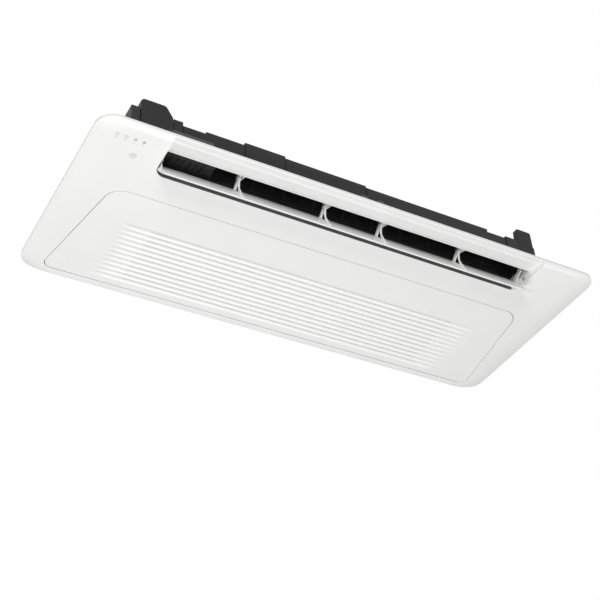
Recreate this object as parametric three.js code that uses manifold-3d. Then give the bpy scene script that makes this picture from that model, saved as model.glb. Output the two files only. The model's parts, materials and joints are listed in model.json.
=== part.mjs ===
// A one-way ceiling cassette air conditioner, seen open at its air outlet.
// Millimetres, +Z up. X runs along the unit, -Y is the outlet side, +Y the intake side.
// z = 0 is the ceiling plane: the panel hangs below it, the chassis stands above it in the void.
import * as THREE from "three";
import { mergeVertices } from "three/addons/utils/BufferGeometryUtils.js";
import Module from "manifold-3d";

const wasm = await Module();
wasm.setup();

// ---------------------------------------------------------------- driving dimensions
const CLEAR = 0.3; // air left between pieces that rest on each other

// panel
const PANEL_LENGTH = 1198;
const PANEL_DEPTH = 500;
const PANEL_CORNER = 40;
const PANEL_DROP = 15; // face below the ceiling
const RIM_HEIGHT = 5;
const SKIN = 3; // moulded wall of the panel and grille
const CROWN_END = 75; // length over which the face bends up at each end
const CROWN_SIDE = 14; // the same along the long edges

// intake grille
const GRILLE_NEAR_Y = -69;
const GRILLE_FAR_Y = 224;
const GRILLE_NEAR_HALF = PANEL_LENGTH / 2 - 96.5; // half width of the trapezoid at its near edge
const GRILLE_FAR_HALF = PANEL_LENGTH / 2 - 48;
const GRILLE_NEAR_CORNER = 40;
const GRILLE_FAR_CORNER = 18;
const SEAM = 1.6;
const FAR_SEAM = 2.2;
const RIB_COUNT = 12;
const RIB_PITCH = 15.46;
const RIB_FIRST_Y = 23.2;
const RIB_HALF_LENGTH = GRILLE_NEAR_HALF - 50.5;
const RIB_DEPTH = 2.2;
const RIB_FADE = 34;
const SLIT_WIDTH = 3.2;
const HINGE_Y = 219;
const HINGE_Z = -9;
const HINGE_X = GRILLE_NEAR_HALF - 2.5;
const HINGE_PIN_R = 1.5;

// air outlet
const SLOT_HALF = PANEL_LENGTH / 2 - 152;
const SLOT_NEAR_Y = -247;
const SLOT_FAR_Y = -139;
const SLOT_CORNER = 23; // round far corners of the slot
const CREASE = [-227, -1.5]; // y, z of the crease in the near ramp
const THROAT = [-194, 6]; // y, z of the ramp's inner edge
const DUCT_HALF = SLOT_HALF + 0.5;
const DUCT_WALL = 3;

// airflow blade
const PIVOT_Y = -172;
const PIVOT_Z = 20;
const BLADE_OPEN_DEG = 52; // how far the blade hangs open at rest
const BLADE_NEAR_Y = -246;
const BLADE_FAR_Y = -142.5;
const BLADE_THICK = 6;
const BLADE_HALF = SLOT_HALF - 2;
const BLADE_NEAR_CORNER = 8;
const BLADE_FAR_CORNER = 20; // follows the slot's corner
const END_ARM_X = BLADE_HALF - 4.3; // the levers at the blade's two ends
const LEVER_FOOT = -16; // how far an end lever's foot reaches along the closed blade from its pivot
const BLADE_SWING_R = Math.hypot(BLADE_FAR_Y - PIVOT_Y, PANEL_DROP + PIVOT_Z);
const SWEEP_R = BLADE_SWING_R + 1.7; // bore of the pocket that the blade's inner edge turns in
const ARM_X = [-271, -69, 69, 271];
const ARM_THICK = 4;
const ARM_BOSS_R = 7;
const CHEEK = 3;
const PIVOT_PIN_R = 2.2;

// chassis
const BODY_LEFT = 101 - PANEL_LENGTH / 2;
const BODY_RIGHT = PANEL_LENGTH / 2 - 117;
const BODY_NEAR_Y = -187;
const BODY_FAR_Y = 213;
const BODY_TOP = 133;
const BODY_WALL = 3;
const BASE_Z = 3;
const BASE_THICK = 3;
const SHOULDER_Z = 92; // height of the near wall before it slopes back
const SHOULDER_Y = -146;
const TOWER_TOP = 135;
const INTAKE_HALF = BODY_RIGHT - 104;
const INTAKE_NEAR_Y = 8;
const INTAKE_FAR_Y = 203;

// cross-flow fan
const FAN_Y = -95;
const FAN_Z = 82;
const FAN_R = 45;
const FAN_LEFT = BODY_LEFT + 183;
const FAN_RIGHT = BODY_RIGHT - 38.5;
const FAN_PITCH = 73.3; // length of one ring of blades
const FAN_STEP = 3; // rings between the discs that are drawn
const FAN_DISC = 2.4;
const FAN_BLADES = 10;
const HUB_LENGTH = 20;
const SHAFT_R = 5;
const MOTOR_R = 37;
const MOTOR_LEFT = BODY_LEFT + 73;
const MOTOR_RIGHT = MOTOR_LEFT + 80;

// heat exchanger
const COIL_LOW = [-30, 52]; // y, z of the slab's lower end, on its centre line
const COIL_HIGH = [186, 113];
const COIL_THICK = 26;
const COIL_HALF = INTAKE_HALF + 7;
const COIL_PLATE = 1.5; // end plate
const TUBE_R = 3.6;

// drain
const PAN_NEAR_Y = -60;
const PAN_FAR_Y = 4;
const PAN_TOP = 33;
const PAN_WALL = 3;
const PAN_FLOOR = 4;

// hangers
const HANGER_YS = [-95, 150];
const HANGER_WIDTH = 44;
const HANGER_REACH = 42;
const HANGER_Z = 113;
const HANGER_THICK = 2.3;
const ROD_SLOT = 12;

// ---------------------------------------------------------------- tools
const UNIT = [new THREE.Vector3(1, 0, 0), new THREE.Vector3(0, 1, 0), new THREE.Vector3(0, 0, 1)];

// A closed three.js geometry as a manifold solid.
function solid(geometry) {
  const bare = geometry.index ? geometry.toNonIndexed() : geometry.clone();
  bare.deleteAttribute("normal");
  bare.deleteAttribute("uv");
  const merged = mergeVertices(bare, 1e-4);
  return new wasm.Manifold(
    new wasm.Mesh({
      numProp: 3,
      vertProperties: merged.attributes.position.array,
      triVerts: new Uint32Array(merged.index.array),
    }),
  );
}

const join = (...solids) => solids.flat().reduce((sum, next) => sum.add(next));
const cut = (body, ...tools) => tools.flat().reduce((rest, tool) => rest.subtract(tool), body);

function extrude(points, depth) {
  const shape = new THREE.Shape(points.map(([u, v]) => new THREE.Vector2(u, v)));
  return new THREE.ExtrudeGeometry(shape, { depth, bevelEnabled: false, steps: 1 });
}

// A prism along X of an outline in (y, z).
function alongX(points, x0, x1) {
  const g = extrude(points, x1 - x0);
  g.applyMatrix4(new THREE.Matrix4().makeBasis(UNIT[1], UNIT[2], UNIT[0]));
  return solid(g.translate(x0, 0, 0));
}

// A prism along Y of an outline in (x, z).
function alongY(points, y0, y1) {
  const g = extrude(points, y1 - y0);
  g.applyMatrix4(new THREE.Matrix4().makeBasis(UNIT[0], UNIT[2], UNIT[1].clone().negate()));
  return solid(g.translate(0, y1, 0));
}

// A prism along Z of an outline in (x, y).
function alongZ(points, z0, z1) {
  return solid(extrude(points, z1 - z0).translate(0, 0, z0));
}

function box(x0, x1, y0, y1, z0, z1) {
  const g = new THREE.BoxGeometry(x1 - x0, y1 - y0, z1 - z0);
  return solid(g.translate((x0 + x1) / 2, (y0 + y1) / 2, (z0 + z1) / 2));
}

function rodX(y, z, r, x0, x1, sides = 12) {
  const g = new THREE.CylinderGeometry(r, r, x1 - x0, sides);
  return solid(g.rotateZ(Math.PI / 2).translate((x0 + x1) / 2, y, z));
}

function rodY(x, z, r, y0, y1, sides = 12) {
  const g = new THREE.CylinderGeometry(r, r, y1 - y0, sides);
  return solid(g.translate(x, (y0 + y1) / 2, z));
}

function rodZ(x, y, r, z0, z1, sides = 12) {
  const g = new THREE.CylinderGeometry(r, r, z1 - z0, sides);
  return solid(g.rotateX(Math.PI / 2).translate(x, y, (z0 + z1) / 2));
}

// An outline with its corners [x, y, radius] rounded off by arcs.
function rounded(corners, steps = 5) {
  const out = [];
  corners.forEach(([x, y, r], i) => {
    if (!r) {
      out.push([x, y]);
      return;
    }
    const here = new THREE.Vector2(x, y);
    const [px, py] = corners[(i + corners.length - 1) % corners.length];
    const [nx, ny] = corners[(i + 1) % corners.length];
    const back = new THREE.Vector2(px, py).sub(here).normalize();
    const ahead = new THREE.Vector2(nx, ny).sub(here).normalize();
    const half = Math.acos(back.dot(ahead)) / 2;
    const middle = back.clone().add(ahead).normalize();
    const centre = here.clone().addScaledVector(middle, r / Math.sin(half));
    const from = here.clone().addScaledVector(back, r / Math.tan(half)).sub(centre).angle();
    let sweep = here.clone().addScaledVector(ahead, r / Math.tan(half)).sub(centre).angle() - from;
    if (sweep > Math.PI) sweep -= 2 * Math.PI;
    if (sweep < -Math.PI) sweep += 2 * Math.PI;
    for (let k = 0; k <= steps; k++) {
      const a = from + (sweep * k) / steps;
      out.push([centre.x + r * Math.cos(a), centre.y + r * Math.sin(a)]);
    }
  });
  return out;
}

const rectangle = (x0, x1, y0, y1, r = 0) =>
  rounded([[x0, y0, r], [x1, y0, r], [x1, y1, r], [x0, y1, r]]);

// A closed solid through rings of equally many points, the first one on top.
function loft(rings) {
  const n = rings[0].length;
  const points = rings.flat();
  const faces = [];
  for (let k = 0; k + 1 < rings.length; k++)
    for (let i = 0; i < n; i++) {
      const j = (i + 1) % n;
      const [a, b, c, d] = [k * n + i, k * n + j, (k + 1) * n + i, (k + 1) * n + j];
      faces.push(a, c, b, b, c, d);
    }
  const cap = (ring) =>
    THREE.ShapeUtils.triangulateShape(ring.map(([x, y]) => new THREE.Vector2(x, y)), []);
  const last = (rings.length - 1) * n;
  cap(rings[0]).forEach(([a, b, c]) => faces.push(a, b, c));
  cap(rings[rings.length - 1]).forEach(([a, b, c]) => faces.push(last + c, last + b, last + a));
  const g = new THREE.BufferGeometry();
  g.setAttribute("position", new THREE.Float32BufferAttribute(points.flat(), 3));
  g.setIndex(faces);
  return solid(g);
}

// Points [y, z] of an arc or spiral about (y, z), from radius r0 at a0 to r1 at a1, in degrees.
function spiral(y, z, r0, a0, r1, a1, steps) {
  return Array.from({ length: steps + 1 }, (_, k) => {
    const t = k / steps;
    const r = r0 + (r1 - r0) * t;
    const a = THREE.MathUtils.degToRad(a0 + (a1 - a0) * t);
    return [y + r * Math.cos(a), z + r * Math.sin(a)];
  });
}

// The outline of a strip of one thickness that lies to the left of a path.
function strip(path, thickness) {
  const side = path.map(([u, v], i) => {
    const [pu, pv] = path[Math.max(i - 1, 0)];
    const [nu, nv] = path[Math.min(i + 1, path.length - 1)];
    const into = new THREE.Vector2(u - pu, v - pv).normalize();
    const out = new THREE.Vector2(nu - u, nv - v).normalize();
    if (i === 0) into.copy(out);
    if (i === path.length - 1) out.copy(into);
    const along = into.clone().add(out).normalize();
    const reach = thickness / Math.max(along.dot(into), 0.5);
    return [u - along.y * reach, v + along.x * reach];
  });
  return [...path, ...side.reverse()];
}

// ---------------------------------------------------------------- materials
const finish = (color, roughness, metalness = 0) =>
  new THREE.MeshStandardMaterial({ color, roughness, metalness });
const WHITE = finish(0xf2f2f1, 0.45);
const SHADE_WHITE = finish(0xe4e4e3, 0.5);
const DARK = finish(0x3d3d3f, 0.6);
const BLACK = finish(0x1d1d1f, 0.5);
const FOAM = finish(0x2b2b2b, 0.95);
const STEEL = finish(0xb9bcbf, 0.35, 1);
const ALUMINIUM = finish(0xc9ccd0, 0.4, 1);
const COPPER = finish(0xb5704a, 0.35, 1);
const BRASS = finish(0xb59a4e, 0.35, 1);
const BOARD = finish(0x1f5d3a, 0.6);
const LENS = finish(0xd9dcdf, 0.2);

const cassette = new THREE.Group();
const bladeGroup = new THREE.Group();
bladeGroup.position.set(0, PIVOT_Y, PIVOT_Z);
bladeGroup.rotation.x = THREE.MathUtils.degToRad(BLADE_OPEN_DEG);
cassette.add(bladeGroup);

function add(name, body, material, group = cassette) {
  const { numProp, vertProperties, triVerts } = body.getMesh();
  const g = new THREE.BufferGeometry();
  const bare = new Float32Array((vertProperties.length / numProp) * 3);
  for (let i = 0; i < bare.length / 3; i++)
    bare.set(vertProperties.subarray(i * numProp, i * numProp + 3), i * 3);
  g.setAttribute("position", new THREE.BufferAttribute(bare, 3));
  g.setIndex(new THREE.BufferAttribute(triVerts, 1));
  const mesh = new THREE.Mesh(g, material);
  mesh.name = name;
  group.add(mesh);
}

// ---------------------------------------------------------------- panel and grille shells
// The panel's outer form: rings from the ceiling down to the flat face, grown smaller by inset.
function panelForm(inset, lift, top) {
  const profile = [
    [0, 0, top],
    [0, 0, -RIM_HEIGHT + (lift ? 0.5 : 0)],
    [CROWN_END * 0.1, CROWN_SIDE * 0.12, -PANEL_DROP * 0.57 + lift],
    [CROWN_END * 0.32, CROWN_SIDE * 0.4, -PANEL_DROP * 0.8 + lift],
    [CROWN_END, CROWN_SIDE, -PANEL_DROP + lift],
  ];
  return loft(
    profile.map(([dx, dy, z]) => {
      const x = PANEL_LENGTH / 2 - inset - dx;
      const y = PANEL_DEPTH / 2 - inset - dy;
      return rectangle(-x, x, -y, y, PANEL_CORNER - inset).map(([u, v]) => [u, v, z]);
    }),
  );
}

// The grille's trapezoid, grown by a margin (its far edge by one of its own).
function trapezoid(grow, growFar = grow) {
  return rounded([
    [-GRILLE_NEAR_HALF - grow, GRILLE_NEAR_Y - grow, GRILLE_NEAR_CORNER + grow],
    [GRILLE_NEAR_HALF + grow, GRILLE_NEAR_Y - grow, GRILLE_NEAR_CORNER + grow],
    [GRILLE_FAR_HALF + grow, GRILLE_FAR_Y + growFar, GRILLE_FAR_CORNER + grow],
    [-GRILLE_FAR_HALF - grow, GRILLE_FAR_Y + growFar, GRILLE_FAR_CORNER + grow],
  ]);
}

function slotOutline(grow) {
  return rounded([
    [-SLOT_HALF - grow, SLOT_NEAR_Y, 0],
    [SLOT_HALF + grow, SLOT_NEAR_Y, 0],
    [SLOT_HALF + grow, SLOT_FAR_Y + grow, SLOT_CORNER + grow],
    [-SLOT_HALF - grow, SLOT_FAR_Y + grow, SLOT_CORNER + grow],
  ]);
}

const BACK_Z = -SKIN; // underside of the panel's back plate
const FACE_IN = -PANEL_DROP + SKIN; // inner side of the face
const FILTER_HALF = RIB_HALF_LENGTH - 4;
const FILTER_NEAR_Y = -22;
const FILTER_FAR_Y = HINGE_Y - 11;
const SCREW_X = FILTER_HALF + 17;
const SCREW_YS = [GRILLE_NEAR_Y + 24, HINGE_Y - 29];
const SCREW_R = 2.2;
const LATCH_X = 300;
const LATCH_Y = GRILLE_NEAR_Y + 23;
const LATCH_R = 4;
const LATCH_FLANGE_R = 6;
const LATCH_TIP_Z = BACK_Z - 2; // how low the plungers reach
const LATCH_HEAD_Z = 1.6;
const BUTTON = [-PANEL_LENGTH / 2 + 95.5, -PANEL_DEPTH / 2 + 79]; // x, y of the receiver button
const BUTTON_R = 7.2;
const LIGHTS = [46, 64.5, 83, 101.5].map((inset) => inset - PANEL_LENGTH / 2); // x of the indicators
const LIGHT_Y = -PANEL_DEPTH / 2 + 44;
const LIGHT_R = 1.3;

// Height of the face along the crowned ends.
function faceZ(x) {
  const inset = PANEL_LENGTH / 2 - Math.abs(x);
  const [x0, z0, x1, z1] = [CROWN_END * 0.32, -PANEL_DROP * 0.8, CROWN_END, -PANEL_DROP];
  return z0 + (z1 - z0) * Math.min((inset - x0) / (x1 - x0), 1);
}

// The room that the blade's inner edge turns in, smaller where its corners round off.
function bladeSweep() {
  const steps = 5;
  const reach = SWEEP_R - BLADE_SWING_R;
  const half = Array.from({ length: steps + 1 }, (_, k) => {
    const out = (BLADE_FAR_CORNER * k) / steps;
    const back = BLADE_FAR_CORNER - Math.sqrt(BLADE_FAR_CORNER ** 2 - out ** 2);
    const r = Math.hypot(BLADE_FAR_Y - back - PIVOT_Y, PANEL_DROP + PIVOT_Z);
    return [r + reach, BLADE_HALF - BLADE_FAR_CORNER + out];
  });
  const outline = [
    [0, -SLOT_HALF], [half[steps][0], -SLOT_HALF], ...[...half].reverse().map(([r, x]) => [r, -x]),
    ...half, [half[steps][0], SLOT_HALF], [0, SLOT_HALF],
  ];
  const g = new THREE.LatheGeometry(outline.map(([r, x]) => new THREE.Vector2(r, x)), 64);
  return solid(g.rotateZ(-Math.PI / 2).translate(0, PIVOT_Y, PIVOT_Z));
}

function frontPanel() {
  const shell = cut(panelForm(0, 0, 0), panelForm(SKIN, SKIN, BACK_Z));
  const wall = cut(
    alongZ(trapezoid(SEAM + 1.2 + 2.5, FAR_SEAM + 1.2 + 2.5), FACE_IN - 1, BACK_Z + 1),
    alongZ(trapezoid(SEAM + 1.2, FAR_SEAM + 1.2), FACE_IN - 2, BACK_Z + 2),
  );
  const slotWall = cut(
    alongZ(slotOutline(DUCT_WALL), FACE_IN - 1, BACK_Z + 1),
    alongZ(slotOutline(0), FACE_IN - 2, BACK_Z + 2),
  );
  const pocket = box(-SLOT_HALF, SLOT_HALF, SLOT_FAR_Y, SLOT_FAR_Y + 13, FACE_IN - 1, BACK_Z + 1);
  const ramp = alongX(
    [[SLOT_NEAR_Y - 0.5, -RIM_HEIGHT], [CREASE[0], CREASE[1]], [CREASE[0], 0], [SLOT_NEAR_Y - 0.5, 0]],
    -SLOT_HALF - 1, SLOT_HALF + 1,
  );
  const lugs = [-1, 1].map((s) => {
    const x = s * (HINGE_X + 7.5);
    return join(
      rodX(HINGE_Y, HINGE_Z, 2.7, x - 2, x + 2),
      box(x - 2, x + 2, HINGE_Y - 2.7, HINGE_Y + 2.7, HINGE_Z, BACK_Z + 1),
    );
  });
  const body = cut(
    join(shell, wall, slotWall, pocket),
    alongZ(trapezoid(SEAM, FAR_SEAM), -PANEL_DROP - 1, FACE_IN + 0.01),
    alongZ(trapezoid(SEAM + 1.2, FAR_SEAM + 1.2), FACE_IN, BACK_Z),
    alongZ(rectangle(-FILTER_HALF + 4, FILTER_HALF - 4, FILTER_NEAR_Y + 4, FILTER_FAR_Y - 6, 8), -5, 1),
    alongZ(slotOutline(0), -PANEL_DROP - 1, 1),
    bladeSweep(),
    rodX(HINGE_Y, HINGE_Z, 8.3, -GRILLE_FAR_HALF, GRILLE_FAR_HALF, 32).intersect(
      box(-PANEL_LENGTH / 2, PANEL_LENGTH / 2, HINGE_Y - 1.8, PANEL_DEPTH / 2 - 10, -20, BACK_Z - 0.01)),
    rodZ(...BUTTON, BUTTON_R + CLEAR, -PANEL_DROP - 1, -8, 24),
    LIGHTS.map((x) => rodZ(x, LIGHT_Y, LIGHT_R + CLEAR, -PANEL_DROP - 1, -8, 10)),
    [-1, 1].map((s) => rodZ(s * LATCH_X, LATCH_Y, LATCH_R + CLEAR, BACK_Z - 1, 1)),
    [-1, 1].flatMap((s) => SCREW_YS.map((y) => rodZ(s * SCREW_X, y, SCREW_R + CLEAR, BACK_Z - 1, 1))),
  );
  const made = cut(
    join(body, ramp, lugs),
    rodX(HINGE_Y, HINGE_Z, HINGE_PIN_R + CLEAR, -HINGE_X - 12, -HINGE_X - 3),
    rodX(HINGE_Y, HINGE_Z, HINGE_PIN_R + CLEAR, HINGE_X + 3, HINGE_X + 12),
  );
  add("front_panel", made, WHITE);
}

// One wave of the grille's face, a shallow trough that fades out at both ends.
function ribTrough(y) {
  const half = RIB_PITCH * 0.36;
  const z = -PANEL_DROP - 0.4;
  const rings = [
    [RIB_HALF_LENGTH, 0.1],
    [RIB_HALF_LENGTH - RIB_FADE, 1],
    [-RIB_HALF_LENGTH + RIB_FADE, 1],
    [-RIB_HALF_LENGTH, 0.1],
  ].map(([x, t]) =>
    [[1, 0], [0.4, 1], [-0.4, 1], [-1, 0]].map(([u, v]) =>
      [u * half, z + v * (RIB_DEPTH + 0.4) * t, x]),
  );
  return loft(rings).transform([0, 1, 0, 0, 0, 0, 1, 0, 1, 0, 0, 0, 0, y, 0, 1]);
}

function ribYs() {
  return Array.from({ length: RIB_COUNT }, (_, i) => RIB_FIRST_Y + i * RIB_PITCH);
}

function intakeGrille() {
  const shell = cut(panelForm(0, 0, -4), panelForm(0, SKIN, -3.9));
  const plate = shell.intersect(alongZ(trapezoid(0), -PANEL_DROP - 1, -4));
  const wall = cut(
    alongZ(trapezoid(-8), FACE_IN - 0.5, -6),
    alongZ(trapezoid(-10.5), FACE_IN - 2, -5),
  );
  const around = (grow, growFar) =>
    rectangle(-FILTER_HALF - grow, FILTER_HALF + grow, FILTER_NEAR_Y - grow, FILTER_FAR_Y + growFar);
  const frame = cut(alongZ(around(4, 3.4), FACE_IN - 0.5, -7), alongZ(around(1, 0.8), -20, -5));
  const knuckles = [-1, 1].map((s) =>
    rodX(HINGE_Y, HINGE_Z, 3.4, s * HINGE_X - 5, s * HINGE_X + 5));
  const strikers = [-1, 1].map((s) =>
    box(s * LATCH_X - 6, s * LATCH_X + 6, LATCH_Y - 6, LATCH_Y + 6, FACE_IN - 0.5, LATCH_TIP_Z - CLEAR));
  const slits = ribYs().map((y) => {
    const end = RIB_HALF_LENGTH - RIB_FADE;
    return box(-end, end, y - SLIT_WIDTH / 2, y + SLIT_WIDTH / 2, -PANEL_DROP - 1, FACE_IN + 1);
  });
  const bars = [-225, 0, 225].map((x) =>
    box(x - 2, x + 2, FILTER_NEAR_Y - 2, FILTER_FAR_Y + 2, FACE_IN - 0.5, FACE_IN + 1.7));
  const rubs = ribYs().map(ribTrough);
  const made = cut(
    join(cut(plate, rubs, slits), wall, frame, knuckles, strikers, bars),
    rodX(HINGE_Y, HINGE_Z, HINGE_PIN_R + CLEAR, -HINGE_X - 12, -HINGE_X + 12),
    rodX(HINGE_Y, HINGE_Z, HINGE_PIN_R + CLEAR, HINGE_X - 12, HINGE_X + 12),
  );
  add("intake_grille", made, WHITE);
  for (const [side, s] of [["left", -1], ["right", 1]]) {
    const ends = [s * HINGE_X - s * 4, s * HINGE_X + s * 10].sort((a, b) => a - b);
    const pin = rodX(HINGE_Y, HINGE_Z, HINGE_PIN_R, ...ends);
    add("grille_hinge_pin_" + side, pin, STEEL);
  }
}

// A frame with crossbars and a sheet of netting, lying on the bars of the grille.
function airFilter() {
  const z0 = FACE_IN + 2;
  const z1 = z0 + 4;
  const outer = box(-FILTER_HALF, FILTER_HALF, FILTER_NEAR_Y, FILTER_FAR_Y, z0, z1);
  const windows = [];
  const columns = 6;
  const step = (2 * FILTER_HALF - 10) / columns;
  for (let i = 0; i < columns; i++) {
    const x = -FILTER_HALF + 8 + i * step;
    windows.push(box(x, x + step - 6, FILTER_NEAR_Y + 8, FILTER_FAR_Y - 8, z0 + 1, z1 + 1));
  }
  add("air_filter", cut(outer, windows), BLACK);
}

function touchLatches() {
  for (const [side, s] of [["left", -1], ["right", 1]]) {
    const plunger = join(
      rodZ(s * LATCH_X, LATCH_Y, LATCH_R, LATCH_TIP_Z, LATCH_HEAD_Z),
      rodZ(s * LATCH_X, LATCH_Y, LATCH_FLANGE_R, CLEAR, LATCH_HEAD_Z),
    );
    add("latch_plunger_" + side, plunger, SHADE_WHITE);
  }
}

function display() {
  const z = faceZ(LIGHTS[0] - 5) + SKIN + CLEAR;
  const bar = box(LIGHTS[0] - 5, LIGHTS[3] + 5, LIGHT_Y - 3.5, LIGHT_Y + 3.5, z, z + 2);
  const pins = LIGHTS.map((x) => rodZ(x, LIGHT_Y, LIGHT_R, faceZ(x) + 0.4, z + 1, 10));
  add("light_guide", join(bar, pins), LENS);
  const [bx, by] = BUTTON;
  const board = box(LIGHTS[0] - 6, LIGHTS[3] + 9, LIGHT_Y - 6, by + 11, -6.6, -5);
  const parts = [
    ...LIGHTS.map((x) => box(x - 2, x + 2, LIGHT_Y - 2, LIGHT_Y + 2, z + 2 + CLEAR, -6)),
    box(bx - 3, bx + 3, by - 3, by + 3, -7.4, -6),
    box(LIGHTS[0] + 8, LIGHTS[0] + 18, LIGHT_Y + 16, LIGHT_Y + 26, -5.5, -3.3),
  ];
  add("display_board", join(board, parts), BOARD);
  const button = join(
    rodZ(...BUTTON, BUTTON_R, -PANEL_DROP - 0.4, FACE_IN + 1.5, 24),
    rodZ(...BUTTON, BUTTON_R + 2, FACE_IN + CLEAR, FACE_IN + 1.8, 24),
    rodZ(...BUTTON, 2, FACE_IN + 1, -9.1, 12),
  );
  add("receiver_button", button, LENS);
}

// ---------------------------------------------------------------- outlet
const SWEEP_TOP_DEG = 12;

function outletFrame() {
  const ramp = strip([CREASE, THROAT].map(([y, z], i) => [y + (i ? 0 : CLEAR), z + (i ? 0 : CLEAR)]), 2);
  const nearWall = strip([THROAT, [BODY_NEAR_Y + 5, 24]], 2.5);
  const startDeg = -24;
  const arc = spiral(PIVOT_Y, PIVOT_Z, SWEEP_R, startDeg, SWEEP_R, SWEEP_TOP_DEG, 8);
  const pocket = strip(arc.reverse(), 2.5);
  const farPocket = pocket.map(([y, z]) => [y, Math.max(z, CLEAR)]);
  const endOutline = [
    [CREASE[0] + 1, CLEAR], [-126, CLEAR], [-122.5, 16], [-123.2, 30.2], [-140, 33],
    [BODY_NEAR_Y + 6, 26], [THROAT[0] - 0.5, THROAT[1] + 2],
  ];
  const ends = [-1, 1].map((s) =>
    alongX(endOutline, Math.min(s * DUCT_HALF, s * (DUCT_HALF + DUCT_WALL)),
      Math.max(s * DUCT_HALF, s * (DUCT_HALF + DUCT_WALL))));
  const outer = DUCT_HALF + 1;
  const edge = SLOT_HALF - CLEAR;
  const cheeks = ARM_X.flatMap((x) => [-1, 1].map((s) => {
    const inner = ARM_THICK / 2 + 0.5;
    const x0 = x + (s > 0 ? inner : -inner - CHEEK);
    return join(
      rodX(PIVOT_Y, PIVOT_Z, ARM_BOSS_R - 1, x0, x0 + CHEEK),
      alongX([[THROAT[0] - 3, THROAT[1] + 1], [THROAT[0] + 6, THROAT[1] + 1], [PIVOT_Y + 3, PIVOT_Z - 5],
        [PIVOT_Y, PIVOT_Z + 6], [BODY_NEAR_Y + 4, 23]], x0, x0 + CHEEK),
    );
  }));
  const wedges = [-1, 1].map((s) =>
    alongY([[s * (DUCT_HALF - 10), THROAT[1] + 1], [s * (DUCT_HALF + 1), THROAT[1] + 1],
      [s * (DUCT_HALF + 1), CLEAR], [s * (DUCT_HALF - 7), CLEAR]], CREASE[0] + 12, THROAT[0] - 0.5));
  const besideSlot = [edge, -edge - 13].map((x) =>
    box(x, x + 13, CREASE[0] - 5, THROAT[0], -5, CLEAR));
  const body = join(
    cut(alongX(ramp, -outer, outer), besideSlot), alongX(nearWall, -outer, outer),
    alongX(farPocket, -outer, outer), ends, cheeks, wedges,
  );
  const bores = rodX(PIVOT_Y, PIVOT_Z, PIVOT_PIN_R + CLEAR, -DUCT_HALF - 10, DUCT_HALF + 10);
  add("outlet_frame", cut(body, bores), SHADE_WHITE);
}

// The blade is drawn closed, about its pivot, and hangs open by the group's turn.
function airflowBlade() {
  const y0 = BLADE_NEAR_Y - PIVOT_Y;
  const y1 = BLADE_FAR_Y - PIVOT_Y;
  const z0 = -PANEL_DROP - PIVOT_Z;
  const z1 = z0 + BLADE_THICK;
  const profile = [
    [y0, z1 - 1], [y0 + 3, z0 + 1.6], [y0 + 11, z0], [y1 - 2, z0], [y1, z0 + 1.5],
    [y1, z1 - 1], [y1 - 1.5, z1], [y0 + 1, z1],
  ];
  const outline = rounded([
    [-BLADE_HALF, y0 - 1, BLADE_NEAR_CORNER], [BLADE_HALF, y0 - 1, BLADE_NEAR_CORNER],
    [BLADE_HALF, y1, BLADE_FAR_CORNER], [-BLADE_HALF, y1, BLADE_FAR_CORNER],
  ]);
  const plate = alongX(profile, -BLADE_HALF, BLADE_HALF).intersect(alongZ(outline, z0 - 1, z1 + 1));
  const footNear = y0 + 34;
  const footFar = y1 - 28;
  const arm = (x, foot, sole) => {
    const [x0, x1] = [x - ARM_THICK / 2, x + ARM_THICK / 2];
    const web = [
      [footFar, sole], [footFar, z1 + 3], [ARM_BOSS_R, -1], [0, ARM_BOSS_R], [-ARM_BOSS_R, 0],
      [-ARM_BOSS_R + 1, -5], [foot, z1 + 0.8], [foot, sole],
    ];
    const window = [[-1, -ARM_BOSS_R - 2], [-7, -ARM_BOSS_R - 5], [-9, z1 + 4], [-1, z1 + 4]];
    const bossed = join(alongX(web, x0, x1), rodX(0, 0, ARM_BOSS_R, x0, x1));
    return cut(bossed, alongX(window, x0 - 1, x1 + 1));
  };
  const gusset = (x) => solid(new THREE.ConeGeometry(13, 15, 4, 1).rotateX(Math.PI / 2)
    .rotateZ(Math.PI / 4).scale(1, 1.3, 1).translate(x, footNear + 20, z1 + 6.5));
  const arms = ARM_X.map((x) => arm(x, footNear, z1 - 1));
  const body = join(plate, arms, ARM_X.map(gusset));
  const bore = rodX(0, 0, PIVOT_PIN_R + CLEAR, -DUCT_HALF, DUCT_HALF);
  add("airflow_blade", cut(body, bore), WHITE, bladeGroup);
  const lever = (x) => arm(x, LEVER_FOOT, z1 + CLEAR);
  add("blade_lever_left", cut(lever(-END_ARM_X), bore), BLACK, bladeGroup);
  const shaft = rodX(0, 0, PIVOT_PIN_R, -DUCT_HALF - DUCT_WALL - 12, -END_ARM_X + 1.7);
  add("blade_drive_shaft", shaft, STEEL, bladeGroup);
  const stub = join(
    rodX(0, 0, PIVOT_PIN_R, END_ARM_X - 1.7, DUCT_HALF + DUCT_WALL + 2),
    rodX(0, 0, 4, DUCT_HALF + DUCT_WALL + CLEAR, DUCT_HALF + DUCT_WALL + 2),
  );
  add("blade_lever_right", join(lever(END_ARM_X), stub), BLACK, bladeGroup);
}

function bladePins() {
  const reach = ARM_THICK / 2 + 0.5 + CHEEK;
  ARM_X.forEach((x, i) => {
    const pin = join(
      rodX(PIVOT_Y, PIVOT_Z, PIVOT_PIN_R, x - reach - 1, x + reach + 0.5),
      rodX(PIVOT_Y, PIVOT_Z, 4, x - reach - 1.5, x - reach - CLEAR),
    );
    add("blade_pin_" + (i + 1), pin, STEEL);
  });
}

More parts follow.
